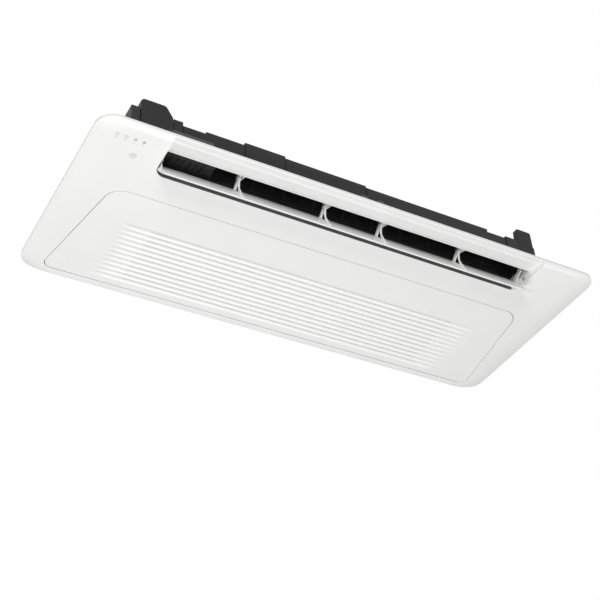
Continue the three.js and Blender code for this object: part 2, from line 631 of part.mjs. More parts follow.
function bladeMotor() {
  const x1 = -DUCT_HALF - DUCT_WALL - CLEAR;
  const can = join(
    rodX(PIVOT_Y, PIVOT_Z + 2, 11, x1 - 19, x1, 24),
    box(x1 - 1.6, x1, PIVOT_Y - 10, PIVOT_Y + 10, PIVOT_Z - 8, PIVOT_Z + 20),
    box(x1 - 17, x1 - 4, PIVOT_Y - 8, PIVOT_Y + 8, PIVOT_Z + 12, PIVOT_Z + 19),
  );
  add("blade_motor", cut(can, rodX(PIVOT_Y, PIVOT_Z, PIVOT_PIN_R + CLEAR, x1 - 14, x1 + 1)), STEEL);
}

// ---------------------------------------------------------------- fan chamber
const GUIDE_WALL = 2.5; // thickness of the sheets that guide the air round the fan
const SCROLL_START_R = FAN_R + 11.5;
const SCROLL_END_R = FAN_R + 4.5;
const END_BORE_R = 14; // hole in each fan end plate
const HOLDER_FLANGE_R = 20;
const BUSH_R = 8.7;

function scrollGuide() {
  const curve = spiral(FAN_Y, FAN_Z, SCROLL_START_R, -118, SCROLL_END_R, 12, 16);
  add("scroll_guide", alongX(strip([...curve].reverse(), GUIDE_WALL), FAN_LEFT - 3, FAN_RIGHT + 2), BLACK);
}

function stabiliser() {
  const path = [
    [BODY_NEAR_Y + 5.4, 26.5], [FAN_Y - 65, FAN_Z - 30], [FAN_Y - 51.5, FAN_Z - 12], [FAN_Y - 54, FAN_Z - 4],
  ];
  add("stabiliser", alongX(strip(path, GUIDE_WALL), FAN_LEFT - 3, FAN_RIGHT + 2), BLACK);
}

const CHAMBER_NEAR = BODY_NEAR_Y + BODY_WALL + CLEAR;
const CHAMBER_TOP = BODY_TOP - BODY_WALL - CLEAR;
const CHAMBER = [
  [CHAMBER_NEAR, 40], [-150, 40], [-120, 30], [-80, 30], [-38, 60], [-38, CHAMBER_TOP],
  [SHOULDER_Y + BODY_WALL, CHAMBER_TOP], [CHAMBER_NEAR, SHOULDER_Z - BODY_WALL],
];

function fanEndPlates() {
  const bore = (x0, x1) => rodX(FAN_Y, FAN_Z, END_BORE_R, x0 - 1, x1 + 1, 24);
  const left = [FAN_LEFT - 6, FAN_LEFT - 3.3];
  const right = [FAN_RIGHT + 2.3, FAN_RIGHT + 5];
  add("fan_end_plate_left", cut(alongX(CHAMBER, ...left), bore(...left)), BLACK);
  add("fan_end_plate_right", cut(alongX(CHAMBER, ...right), bore(...right)), BLACK);
  const holder = cut(
    join(
      rodX(FAN_Y, FAN_Z, END_BORE_R - CLEAR, right[0], right[1] + 6, 24),
      rodX(FAN_Y, FAN_Z, HOLDER_FLANGE_R, right[1] + CLEAR, right[1] + 6, 24),
    ),
    rodX(FAN_Y, FAN_Z, BUSH_R + CLEAR, right[0] - 1, right[1] + 9, 24),
  );
  add("bearing_holder", holder, FOAM);
  const bush = cut(
    rodX(FAN_Y, FAN_Z, BUSH_R, right[0], right[1] + 6, 24),
    rodX(FAN_Y, FAN_Z, SHAFT_R + 0.2, right[0] - 1, right[1] + 7, 24),
  );
  add("fan_bearing", bush, BRASS);
}

// Discs in a row with forward-leaning blades through them.
function crossFlowFan() {
  const discs = [];
  for (let x = FAN_RIGHT - FAN_DISC; x > FAN_LEFT + 10; x -= FAN_PITCH * FAN_STEP) discs.push(x);
  discs.push(FAN_LEFT);
  const wheels = discs.map((x) => rodX(FAN_Y, FAN_Z, FAN_R, x, x + FAN_DISC, 24));
  const blades = Array.from({ length: FAN_BLADES }, (_, i) => {
    const g = new THREE.BoxGeometry(FAN_RIGHT - FAN_LEFT - 2, 12, 1.4);
    g.rotateX(THREE.MathUtils.degToRad(-35)).translate((FAN_LEFT + FAN_RIGHT) / 2, FAN_R - 6.5, 0);
    g.rotateX((i * 2 * Math.PI) / FAN_BLADES);
    return solid(g.translate(0, FAN_Y, FAN_Z));
  });
  const hubs = [rodX(FAN_Y, FAN_Z, 12, FAN_LEFT, FAN_LEFT + HUB_LENGTH, 20),
    rodX(FAN_Y, FAN_Z, 12, FAN_RIGHT - HUB_LENGTH, FAN_RIGHT, 20)];
  const bores = [rodX(FAN_Y, FAN_Z, SHAFT_R + CLEAR, FAN_LEFT - 1, FAN_LEFT + HUB_LENGTH + CLEAR, 20),
    rodX(FAN_Y, FAN_Z, SHAFT_R + CLEAR, FAN_RIGHT - HUB_LENGTH - CLEAR, FAN_RIGHT + 1, 20)];
  add("cross_flow_fan", cut(join(wheels, blades, hubs), bores), BLACK);
  add("motor_shaft", rodX(FAN_Y, FAN_Z, SHAFT_R, MOTOR_LEFT + 20, FAN_LEFT + HUB_LENGTH, 20), STEEL);
  add("fan_stub_shaft", rodX(FAN_Y, FAN_Z, SHAFT_R, FAN_RIGHT - HUB_LENGTH, FAN_RIGHT + 10, 20), STEEL);
}

function fanMotor() {
  const can = join(
    rodX(FAN_Y, FAN_Z, MOTOR_R, MOTOR_LEFT, MOTOR_RIGHT, 24),
    rodX(FAN_Y, FAN_Z, 13, MOTOR_LEFT - 5, MOTOR_RIGHT + 6, 24),
    box(MOTOR_LEFT + 25, MOTOR_LEFT + 45, FAN_Y + MOTOR_R - 5, FAN_Y + MOTOR_R + 6,
      FAN_Z - 8, FAN_Z + 8),
  );
  const bore = rodX(FAN_Y, FAN_Z, SHAFT_R + CLEAR, MOTOR_LEFT + 19, MOTOR_RIGHT + 8, 20);
  add("fan_motor", cut(can, bore), STEEL);
  const ring = (x) => cut(
    join(
      rodX(FAN_Y, FAN_Z, MOTOR_R + 2.5, x, x + 12, 24),
      box(x, x + 12, FAN_Y - MOTOR_R - 10, FAN_Y + MOTOR_R + 10, FAN_Z - 6, FAN_Z - 1),
      box(x, x + 12, FAN_Y - 4, FAN_Y + 4, FAN_Z + MOTOR_R, CHAMBER_TOP),
    ),
    rodX(FAN_Y, FAN_Z, MOTOR_R + CLEAR, x - 1, x + 13, 24),
  );
  const tie = box(MOTOR_LEFT + 8, MOTOR_RIGHT - 6, FAN_Y - 10, FAN_Y + 10, CHAMBER_TOP - 2, CHAMBER_TOP);
  add("motor_bracket", join(ring(MOTOR_LEFT + 8), ring(MOTOR_RIGHT - 20), tie), STEEL);
}

// The dark cover that closes the outlet below the motor, with raised ribs.
function motorCover() {
  const x0 = -DUCT_HALF + CLEAR;
  const x1 = FAN_LEFT - 6.6;
  const path = [[BODY_NEAR_Y + 6.5, 27.5], [-152, 31.5], [-124, 32.6], [-114, 31.5]];
  const ribs = [];
  for (let x = x0 + 18; x < x1 - 12; x += 14)
    ribs.push(box(x, x + 3, -166, -140, 28, 33));
  const plate = alongX(strip(path, 2.5), x0, x1);
  add("motor_cover", join(plate, ribs), DARK);
}

// ---------------------------------------------------------------- chassis
// Top of the near wall along the unit: from, to, height.
const STEPS = [
  ...[
    [60, 94, 107], [94, 146, 97], [146, 235, 102.5], [235, 330, 110], [330, 528, 104.5], [528, 849, 100],
  ].map(([from, to, top]) => [BODY_LEFT + from, BODY_LEFT + to, top]),
  [BODY_RIGHT - 80, BODY_RIGHT - 46, 98],
];
// The raised corners over the ends of the near wall: depth, then the outline as x, z and corner radius.
const TOWERS = [
  [30, [
    [BODY_LEFT + 12, 90, 0], [BODY_LEFT + 73, 90, 0], [BODY_LEFT + 73, 108, 0],
    [BODY_LEFT + 58, TOWER_TOP, 9], [BODY_LEFT + 14, TOWER_TOP, 6],
  ]],
  [12, [
    [BODY_RIGHT - 46, 90, 0], [BODY_RIGHT - 1, 90, 0],
    [BODY_RIGHT - 3, TOWER_TOP - 1, 4], [BODY_RIGHT - 44, TOWER_TOP, 6],
  ]],
];
const COVER_LEFT = BODY_LEFT - 19;
const COVER_WALL = 1.5;

function housing() {
  const z0 = BASE_Z + BASE_THICK + CLEAR;
  const profile = (w) => [
    [BODY_NEAR_Y + w, w ? z0 - 2 : z0], [BODY_NEAR_Y + w, SHOULDER_Z - w / 2],
    [SHOULDER_Y + w / 2, BODY_TOP - w],
    [BODY_FAR_Y - w, BODY_TOP - w], [BODY_FAR_Y - w, w ? z0 - 2 : z0],
  ];
  const block = alongX(profile(0), BODY_LEFT, BODY_RIGHT);
  const inside = alongX(profile(BODY_WALL), BODY_LEFT + BODY_WALL, BODY_RIGHT - BODY_WALL);
  const steps = STEPS.map(([x0, x1, top]) =>
    box(x0, x1, BODY_NEAR_Y, BODY_NEAR_Y + (top - SHOULDER_Z) + 4, SHOULDER_Z - 2, top));
  const towers = TOWERS.map(([depth, outline]) =>
    alongY(rounded(outline, 4), BODY_NEAR_Y, BODY_NEAR_Y + depth));
  const ledge = box(BODY_LEFT + 58, BODY_RIGHT - 46, BODY_NEAR_Y - 4, BODY_NEAR_Y + 1, 60, 64);
  const outletGap = box(-DUCT_HALF - 8, DUCT_HALF + 8, BODY_NEAR_Y - 6, BODY_NEAR_Y + 10, 0, 26);
  const made = cut(
    join(block, steps, towers, ledge), inside, outletGap,
    PIPES.map(([y, z, r]) => rodX(y, z, r + 2 * CLEAR, BODY_RIGHT - 10, BODY_RIGHT + 10, 16)),
    rodX(DRAIN_Y, DRAIN_Z, DRAIN_R + CLEAR, BODY_RIGHT - 10, BODY_RIGHT + 10, 24),
    rodX(CABLE_Y, CABLE_Z, 9, BODY_LEFT - 10, BODY_LEFT + 10),
  );
  add("housing", made, DARK);
}

function basePlate() {
  const z1 = BASE_Z + BASE_THICK;
  const plate = box(BODY_LEFT, BODY_RIGHT, BODY_NEAR_Y, BODY_FAR_Y, BASE_Z, z1);
  const outlet = box(-DUCT_HALF - 8, DUCT_HALF + 8, BODY_NEAR_Y - 5, -118, 0, 10);
  const motorBay = box(-DUCT_HALF - 34, -DUCT_HALF, BODY_NEAR_Y + 1, -150, 0, 10);
  const intake = alongZ(rectangle(-INTAKE_HALF, INTAKE_HALF, INTAKE_NEAR_Y, INTAKE_FAR_Y, 6), 0, 10);
  const screws = [-1, 1].flatMap((s) => SCREW_YS.map((y) => rodZ(s * SCREW_X, y, SCREW_R + CLEAR, 0, 30)));
  const bosses = [-1, 1].flatMap((s) => SCREW_YS.map((y) => rodZ(s * SCREW_X, y, 6, z1 - 1, 16)));
  const latches = [-1, 1].map((s) => rodZ(s * LATCH_X, LATCH_Y, LATCH_FLANGE_R + 1, 0, 10));
  add("base_plate", cut(join(plate, bosses), outlet, motorBay, intake, screws, latches), DARK);
}

function topPlate() {
  const z0 = BODY_TOP + CLEAR;
  const plate = box(BODY_LEFT + 8, BODY_RIGHT - 8, SHOULDER_Y + 12, BODY_FAR_Y - 6, z0, z0 + 1.2);
  const beads = [-60, 10, 80, 150].map((y) =>
    box(BODY_LEFT + 60, BODY_RIGHT - 60, y, y + 10, z0 + 1, z0 + 2));
  add("top_plate", join(plate, beads), STEEL);
}

function hangers() {
  const faces = [["left", BODY_LEFT, -1], ["right", BODY_RIGHT, 1]];
  for (const [side, wall, s] of faces)
    HANGER_YS.forEach((y, i) => {
      const x = wall + s * CLEAR;
      const span = (a, b) => [Math.min(x + s * a, x + s * b), Math.max(x + s * a, x + s * b)];
      const y0 = y - HANGER_WIDTH / 2;
      const y1 = y + HANGER_WIDTH / 2;
      const leg = box(...span(0, HANGER_THICK), y0, y1, HANGER_Z, BODY_TOP - 2);
      const flange = box(...span(0, HANGER_REACH), y0, y1, HANGER_Z, HANGER_Z + HANGER_THICK);
      const edge = span(HANGER_REACH - HANGER_THICK, HANGER_REACH);
      const lip = box(...edge, y0, y1, HANGER_Z - 8, HANGER_Z + 1);
      const slot = join(
        box(...span(22, HANGER_REACH + 1), y - ROD_SLOT / 2, y + ROD_SLOT / 2, HANGER_Z - 10, HANGER_Z + 5),
        rodZ(x + s * 22, y, ROD_SLOT / 2, HANGER_Z - 1, HANGER_Z + 4),
      );
      add("hanger_" + side + "_" + (i ? "far" : "near"), cut(join(leg, flange, lip), slot), STEEL);
    });
}

function controlBox() {
  const x0 = COVER_LEFT;
  const x1 = BODY_LEFT - CLEAR;
  const [y0, y1, z0, z1] = [BODY_NEAR_Y, -20, 8, 108.5];
  const cover = cut(
    box(x0, x1, y0, y1, z0, z1),
    box(x0 + COVER_WALL, x1 + 1, y0 + COVER_WALL, y1 - COVER_WALL, z0 + COVER_WALL, z1 - COVER_WALL),
    rodY(x0 + 9, 30, 5 + CLEAR, y1 - 5, y1 + 5),
  );
  add("control_cover", cover, DARK);
  const board = box(x1 - 3.2, x1 - 1.6, y0 + 10, y1 - 40, 20, 100);
  const standoffs = [[y0 + 14, 26], [y1 - 44, 94]].map(([y, z]) => rodX(y, z, 2.5, x1 - 2, x1));
  const chips = [
    box(x1 - 13, x1 - 3, y0 + 20, y0 + 36, 30, 55), box(x1 - 9, x1 - 3, y0 + 50, y0 + 80, 60, 88),
    box(x1 - 11, x1 - 3, y0 + 46, y0 + 58, 28, 44), box(x1 - 7, x1 - 3, y0 + 88, y0 + 104, 34, 50),
  ];
  add("control_board", join(board, standoffs, chips), BOARD);
  const block = join(
    box(x1 - 12, x1, y1 - 32, y1 - 8, 50, 98),
    ...[56, 66, 76, 86].map((z) => box(x1 - 15, x1 - 11, y1 - 30, y1 - 10, z, z + 2)),
  );
  add("terminal_block", block, FOAM);
  const gland = cut(
    join(rodY(x0 + 9, 30, 5, y1 - 6, y1 + 12), rodY(x0 + 9, 30, 7.5, y1 + CLEAR, y1 + 5, 6)),
    rodY(x0 + 9, 30, 3.2, y1 - 7, y1 + 13),
  );
  add("cable_gland", gland, BLACK);
}

// ---------------------------------------------------------------- heat exchanger
const SLOPE = Math.atan2(COIL_HIGH[1] - COIL_LOW[1], COIL_HIGH[0] - COIL_LOW[0]);
const COIL_LONG = Math.hypot(COIL_HIGH[1] - COIL_LOW[1], COIL_HIGH[0] - COIL_LOW[0]);
// y, z where each refrigerant pipe leaves the wall, its radius, and u, v where it leaves the coil
const PIPES = [[70, 92, 6.35, 0.93, 7], [106, 60, 3.2, 0.08, 6]];
const DRAIN_Y = 28;
const DRAIN_Z = 62;
const DRAIN_R = 12.5;
const CABLE_Y = -60;
const CABLE_Z = 50;

// A place on the coil: u along its slope, v across its thickness.
function onCoil(u, v) {
  return [
    COIL_LOW[0] + u * Math.cos(SLOPE) - v * Math.sin(SLOPE),
    COIL_LOW[1] + u * Math.sin(SLOPE) + v * Math.cos(SLOPE),
  ];
}

function slab(u0, u1, v0, v1) {
  return [onCoil(u0, v0), onCoil(u1, v0), onCoil(u1, v1), onCoil(u0, v1)];
}

function heatExchanger() {
  const half = COIL_THICK / 2;
  const core = alongX(slab(0, COIL_LONG, -half, half), -COIL_HALF, COIL_HALF);
  const gaps = [];
  for (let x = -COIL_HALF + 14; x < COIL_HALF - 20; x += 33)
    gaps.push(alongX(slab(-1, COIL_LONG + 1, -half - 1, -half + 4), x, x + 12));
  add("coil_fins", cut(core, gaps), ALUMINIUM);
  const rows = [0.08, 0.25, 0.42, 0.59, 0.76, 0.93].map((t) => t * COIL_LONG);
  for (const [side, s] of [["left", -1], ["right", 1]]) {
    const span = (a, b) => [Math.min(s * a, s * b), Math.max(s * a, s * b)];
    const sheet = span(COIL_HALF + CLEAR, COIL_HALF + CLEAR + COIL_PLATE);
    const plate = alongX(slab(-3, COIL_LONG + 2, -half - 1.5, half + 1), ...sheet);
    const foot = box(...sheet, 6, 26, BASE_Z + BASE_THICK + CLEAR, 70);
    const bends = rows.slice(0, -1).map((u, i) => {
      const v = i % 2 ? 6 : -6;
      const next = rows[i + 1];
      const [a, b] = [onCoil(u, v), onCoil(next, v)];
      const r = Math.hypot(b[0] - a[0], b[1] - a[1]) / 2;
      const at = (out, t) => new THREE.Vector3(
        s * (COIL_HALF + COIL_PLATE + out * r), a[0] + (b[0] - a[0]) * t, a[1] + (b[1] - a[1]) * t);
      const route = [at(0, 0), at(0.8, 0.15), at(1.1, 0.5), at(0.8, 0.85), at(0, 1)];
      const curve = new THREE.CatmullRomCurve3(route);
      const ring = new THREE.Shape().absarc(0, 0, TUBE_R, 0, 2 * Math.PI);
      return solid(new THREE.ExtrudeGeometry(ring, { extrudePath: curve, steps: 5, curveSegments: 3 }));
    });
    add("coil_bends_" + side, join(plate, foot, bends), COPPER);
  }
}

function pipe(points, r) {
  const knots = points.map((p) => new THREE.Vector3(...p));
  const curve = new THREE.CatmullRomCurve3(knots, false, "centripetal");
  const ring = new THREE.Shape().absarc(0, 0, r, 0, 2 * Math.PI);
  return solid(new THREE.ExtrudeGeometry(ring, { extrudePath: curve, steps: 18, curveSegments: 4 }));
}

function refrigerantPipes() {
  const names = ["gas", "liquid"];
  PIPES.forEach(([y, z, r, u, v], i) => {
    const [cy, cz] = onCoil(u * COIL_LONG, v);
    const start = COIL_HALF + COIL_PLATE + 2 * CLEAR;
    const half = [(cy + y) / 2, (cz + z) / 2];
    const run = pipe([
      [start, cy, cz],
      [start + 30, cy, cz],
      [start + 40, (cy + half[0]) / 2, (cz + half[1]) / 2],
      [start + 44, ...half],
      [start + 54, (y + half[0]) / 2, (z + half[1]) / 2],
      ...[-26, -12, 10, 34].map((x) => [BODY_RIGHT + x, y, z]),
    ], r);
    add(names[i] + "_pipe", run, COPPER);
    const nut = cut(
      rodX(y, z, r + 5, BODY_RIGHT + 34 + CLEAR, BODY_RIGHT + 56, 6),
      rodX(y, z, r, BODY_RIGHT + 42, BODY_RIGHT + 60, 16),
    );
    add(names[i] + "_flare_nut", nut, BRASS);
  });
}

// ---------------------------------------------------------------- drain
const PUMP = [BODY_RIGHT - 30, 20]; // x, y of the drain pump
const WING_X = BODY_RIGHT - 50; // where the pan widens for the pump
const FLOAT = [BODY_RIGHT - 36, -14]; // x, y of the float switch

function drainPan() {
  const z0 = BASE_Z + BASE_THICK + CLEAR;
  const outer = box(BODY_LEFT + 20, BODY_RIGHT - 6, PAN_NEAR_Y, PAN_FAR_Y, z0, PAN_TOP);
  const wing = box(WING_X, BODY_RIGHT - 6, PAN_FAR_Y - 1, 70, z0, PAN_TOP);
  const well = box(BODY_LEFT + 24, BODY_RIGHT - 10, PAN_NEAR_Y + PAN_WALL, PAN_FAR_Y - PAN_WALL,
    z0 + PAN_FLOOR, PAN_TOP + 1);
  const sump = box(WING_X + 3, BODY_RIGHT - 9, PAN_FAR_Y - 6, 67, z0 + PAN_FLOOR, PAN_TOP + 1);
  const screw = rodZ(SCREW_X, SCREW_YS[0], 7, 0, 17);
  const screwLeft = rodZ(-SCREW_X, SCREW_YS[0], 7, 0, 17);
  add("drain_pan", cut(join(outer, wing), well, sump, screw, screwLeft), SHADE_WHITE);
}

function drainPump() {
  const [x, y] = PUMP;
  const floor = BASE_Z + BASE_THICK + PAN_FLOOR + 2 * CLEAR;
  const body = join(
    rodZ(x, y, 13, 44, 84, 24), rodZ(x, y, 16, 40, 46, 24), rodZ(x, y, 4, floor, 42),
    rodX(DRAIN_Y, DRAIN_Z, DRAIN_R - 2.5 - CLEAR, x, BODY_RIGHT - 6, 20),
    box(x - 13, x + 13, y + 6, y + 22, 66, 69), box(x - 13, x + 13, y + 19, y + 22, 66, CHAMBER_TOP),
  );
  add("drain_pump", body, FOAM);
  const socket = cut(
    join(rodX(DRAIN_Y, DRAIN_Z, DRAIN_R, BODY_RIGHT - 12, BODY_RIGHT + 30, 24),
      rodX(DRAIN_Y, DRAIN_Z, DRAIN_R + 3, BODY_RIGHT + CLEAR, BODY_RIGHT + 4, 24)),
    rodX(DRAIN_Y, DRAIN_Z, DRAIN_R - 2.5, BODY_RIGHT - 13, BODY_RIGHT + 31, 24),
  );
  add("drain_socket", socket, SHADE_WHITE);
  const [fx, fy] = FLOAT;
  const stem = join(
    rodZ(fx, fy, 2, floor + 2, 62), rodZ(fx, fy, 5, floor, floor + 2.5),
    rodZ(fx, fy, 6, 50, 62), box(fx - 5, fx + 26, fy - 5, fy + 5, 56, 60),
    box(fx + 24, BODY_RIGHT - BODY_WALL - CLEAR, fy - 8, fy + 8, 50, 64),
  );
  add("float_switch", stem, FOAM);
  const bore = rodZ(fx, fy, 2 + CLEAR, floor, floor + 20);
  const float = cut(rodZ(fx, fy, 8, floor + 2.8, floor + 16, 20), bore);
  add("float", float, SHADE_WHITE);
}

function seals() {
  const z0 = CLEAR;
  const z1 = BASE_Z - CLEAR;
  const ring = cut(
    alongZ(rectangle(-FILTER_HALF - 4, FILTER_HALF + 4, -14, INTAKE_FAR_Y + 6), z0, z1),
    alongZ(rectangle(-INTAKE_HALF - 4, INTAKE_HALF + 4, INTAKE_NEAR_Y - 2, INTAKE_FAR_Y + 1),
      z0 - 1, z1 + 1),
  );
  add("intake_seal", ring, FOAM);
}

function panelScrews() {
  let number = 1;
  for (const s of [-1, 1])
    for (const y of SCREW_YS) {
      const screw = join(
        rodZ(s * SCREW_X, y, SCREW_R, BACK_Z - 1, 17),
        rodZ(s * SCREW_X, y, 4.5, BACK_Z - CLEAR - 2.4, BACK_Z - CLEAR),
      );
      add("panel_screw_" + number, screw, STEEL);
      number += 1;
    }
}

frontPanel();
intakeGrille();
airFilter();
touchLatches();
display();
outletFrame();
airflowBlade();
bladePins();
bladeMotor();
scrollGuide();
stabiliser();
fanEndPlates();
crossFlowFan();
fanMotor();
motorCover();
housing();
basePlate();
topPlate();
hangers();
controlBox();
heatExchanger();
refrigerantPipes();
drainPan();
drainPump();
seals();
panelScrews();

export default cassette;
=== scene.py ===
import json
import math

import bmesh
import bpy
import numpy as np
from mathutils import Matrix, Vector
from mathutils.geometry import tessellate_polygon


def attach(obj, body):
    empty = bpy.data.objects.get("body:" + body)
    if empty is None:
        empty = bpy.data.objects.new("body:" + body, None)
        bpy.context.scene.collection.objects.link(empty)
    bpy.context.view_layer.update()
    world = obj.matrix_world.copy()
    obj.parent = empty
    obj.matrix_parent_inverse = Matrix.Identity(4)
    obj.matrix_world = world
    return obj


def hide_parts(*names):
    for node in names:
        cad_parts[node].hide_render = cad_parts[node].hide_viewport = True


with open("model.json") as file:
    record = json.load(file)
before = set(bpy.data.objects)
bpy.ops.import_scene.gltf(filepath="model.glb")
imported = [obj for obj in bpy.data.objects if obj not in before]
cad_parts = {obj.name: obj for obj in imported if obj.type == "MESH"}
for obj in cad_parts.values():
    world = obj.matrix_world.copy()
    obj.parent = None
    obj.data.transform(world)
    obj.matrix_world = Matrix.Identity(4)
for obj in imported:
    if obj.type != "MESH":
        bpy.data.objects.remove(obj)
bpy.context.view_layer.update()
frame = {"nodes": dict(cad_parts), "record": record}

# A one-way ceiling cassette air conditioner, seen from below with its airflow vane open.
# Lengths are millimetres in the frame's axes until a mesh is made: X runs along the unit,
# -Y is the outlet side, z = 0 is the ceiling and the face hangs below it.
MM = 0.001

# ------------------------------------------------------------------ sizes shared by several pieces
HALF_LENGTH, HALF_DEPTH = 599.0, 250.0
PANEL_CORNER = 40.0
RIM, DROP = 5.0, 15.0          # height of the square rim, depth of the flat face
CROWN_X, CROWN_Y = 75.0, 14.0  # how far in from the ends and sides the face curves
CROWN_POWER = 3.3
SKIN = 2.4                     # wall of the panel and of the grille
SPLIT_Y = -104.0               # the panel's mesh is two rings that meet on this line
SLOT_HALF, SLOT_NEAR, SLOT_FAR = 447.0, -248.2, -139.0  # the outlet slot in the face
SLOT_NEAR_CORNER, SLOT_FAR_CORNER = 1.5, 23.0
PIVOT_Y, PIVOT_Z, OPEN_DEG = -172.0, 20.0, 52.0         # the vane's pins, and how far it hangs open
ARM_XS = (-271.0, -69.0, 69.0, 271.0)                   # the vane's four arms
BUTTON, BUTTON_R = (-503.5, -171.0), 7.2                # the receiver window in the face
LIGHTS, LIGHT_Y, LIGHT_R = (-553.0, -534.5, -516.0, -497.5), -206.0, 1.3
SEAM, FAR_SEAM = 1.3, 2.2                               # gap round the grille, wider on its hinge side
# the grille's corners (x, y, radius), anticlockwise
GRILLE = [(-502.5, -69.0, 40.0), (502.5, -69.0, 40.0), (551.0, 224.0, 18.0), (-551.0, 224.0, 18.0)]
HINGE_Y, HINGE_Z, HINGE_X = 219.0, -9.0, 500.0
LATCH_X = 300.0                                         # the two push latches, on the near side
SCREW_X, SCREW_YS = 465.0, (-45.0, 190.0)               # the four screws that hold the panel up
FAN_Y, FAN_Z, FAN_R = -95.0, 82.0, 45.0
FAN_LEFT, FAN_RIGHT, FAN_PITCH = -315.0, 443.5, 73.3    # the fan's ends, and from disc to disc


# ------------------------------------------------------------------ camera
def photo_camera():
    """The photograph's viewpoint, found from the panel's corners: below and to the left, looking up."""
    data = bpy.data.cameras.new("photo_camera")
    data.sensor_width = 36.0
    data.lens = 77.157
    data.shift_x, data.shift_y = -0.00083, 0.00083
    data.clip_start, data.clip_end = 0.05, 60.0
    right = (0.876904, -0.478300, -0.047627)
    up = (-0.258749, -0.553231, 0.791824)
    back = (-0.405078, -0.682030, -0.608890)
    place = (-1.161959, -1.887432, -1.787136)
    camera = bpy.data.objects.new("photo_camera", data)
    camera.matrix_world = Matrix([(*row,) for row in zip(right, up, back, place)] + [(0, 0, 0, 1)])
    bpy.context.collection.objects.link(camera)
    bpy.context.scene.camera = camera


photo_camera()


# ------------------------------------------------------------------ materials
def linear(colour):
    """An sRGB hex colour as linear RGBA."""
    parts = [int(colour[k:k + 2], 16) / 255 for k in (1, 3, 5)]
    return (*[c / 12.92 if c <= 0.04045 else ((c + 0.055) / 1.055) ** 2.4 for c in parts], 1.0)


def node(tree, kind, sockets=None, **settings):
    """Adds a shader node with its settings; a socket given as another node's output is linked."""
    made = tree.nodes.new("ShaderNode" + kind)
    for key, value in settings.items():
        setattr(made, key, value)
    for key, value in (sockets or {}).items():
        if isinstance(value, bpy.types.NodeSocket):
            tree.links.new(value, made.inputs[key])
        else:
            made.inputs[key].default_value = value
    return made


def surface(name, colour, other, patch_mm, grain_mm, depth_mm, stretch=(1, 1, 1), **shader):
    """A solid finish: colour drifts to `other` in patches of patch_mm, and a noise of grain_mm stands
    depth_mm proud as bump and moves the roughness by up to 0.04 each way. Stretch squeezes the noise
    per axis, for drawn or rolled metal."""
    material = bpy.data.materials.new(name)
    material.use_nodes = True
    tree = material.node_tree
    tree.nodes.clear()
    place = node(tree, "TexCoord").outputs["Object"]
    squeezed = node(tree, "Mapping", {"Vector": place, "Scale": stretch}).outputs["Vector"]
    patches = node(tree, "TexNoise", {"Vector": place, "Scale": 1 / (patch_mm * MM), "Detail": 2.0})
    grain = node(tree, "TexNoise", {"Vector": squeezed, "Scale": 1 / (grain_mm * MM), "Detail": 3.0})
    drift = node(tree, "MapRange", {"Value": patches.outputs["Fac"], "From Min": 0.35, "From Max": 0.65})
    tint = node(tree, "Mix", {"Factor": drift.outputs["Result"], 6: linear(colour), 7: linear(other)},
                data_type="RGBA")
    bump = node(tree, "Bump", {"Height": grain.outputs["Fac"], "Strength": 0.6, "Distance": depth_mm * MM})
    rough = shader.pop("roughness")
    spread = node(tree, "MapRange", {"Value": grain.outputs["Fac"], "From Min": 0.3, "From Max": 0.7,
                                     "To Min": rough - 0.04, "To Max": rough + 0.04})
    shader.update({"Base Color": tint.outputs[2], "Normal": bump.outputs["Normal"],
                   "Roughness": spread.outputs["Result"]})
    finish = node(tree, "BsdfPrincipled", shader)
    node(tree, "OutputMaterial", {"Surface": finish.outputs["BSDF"]})
    return material


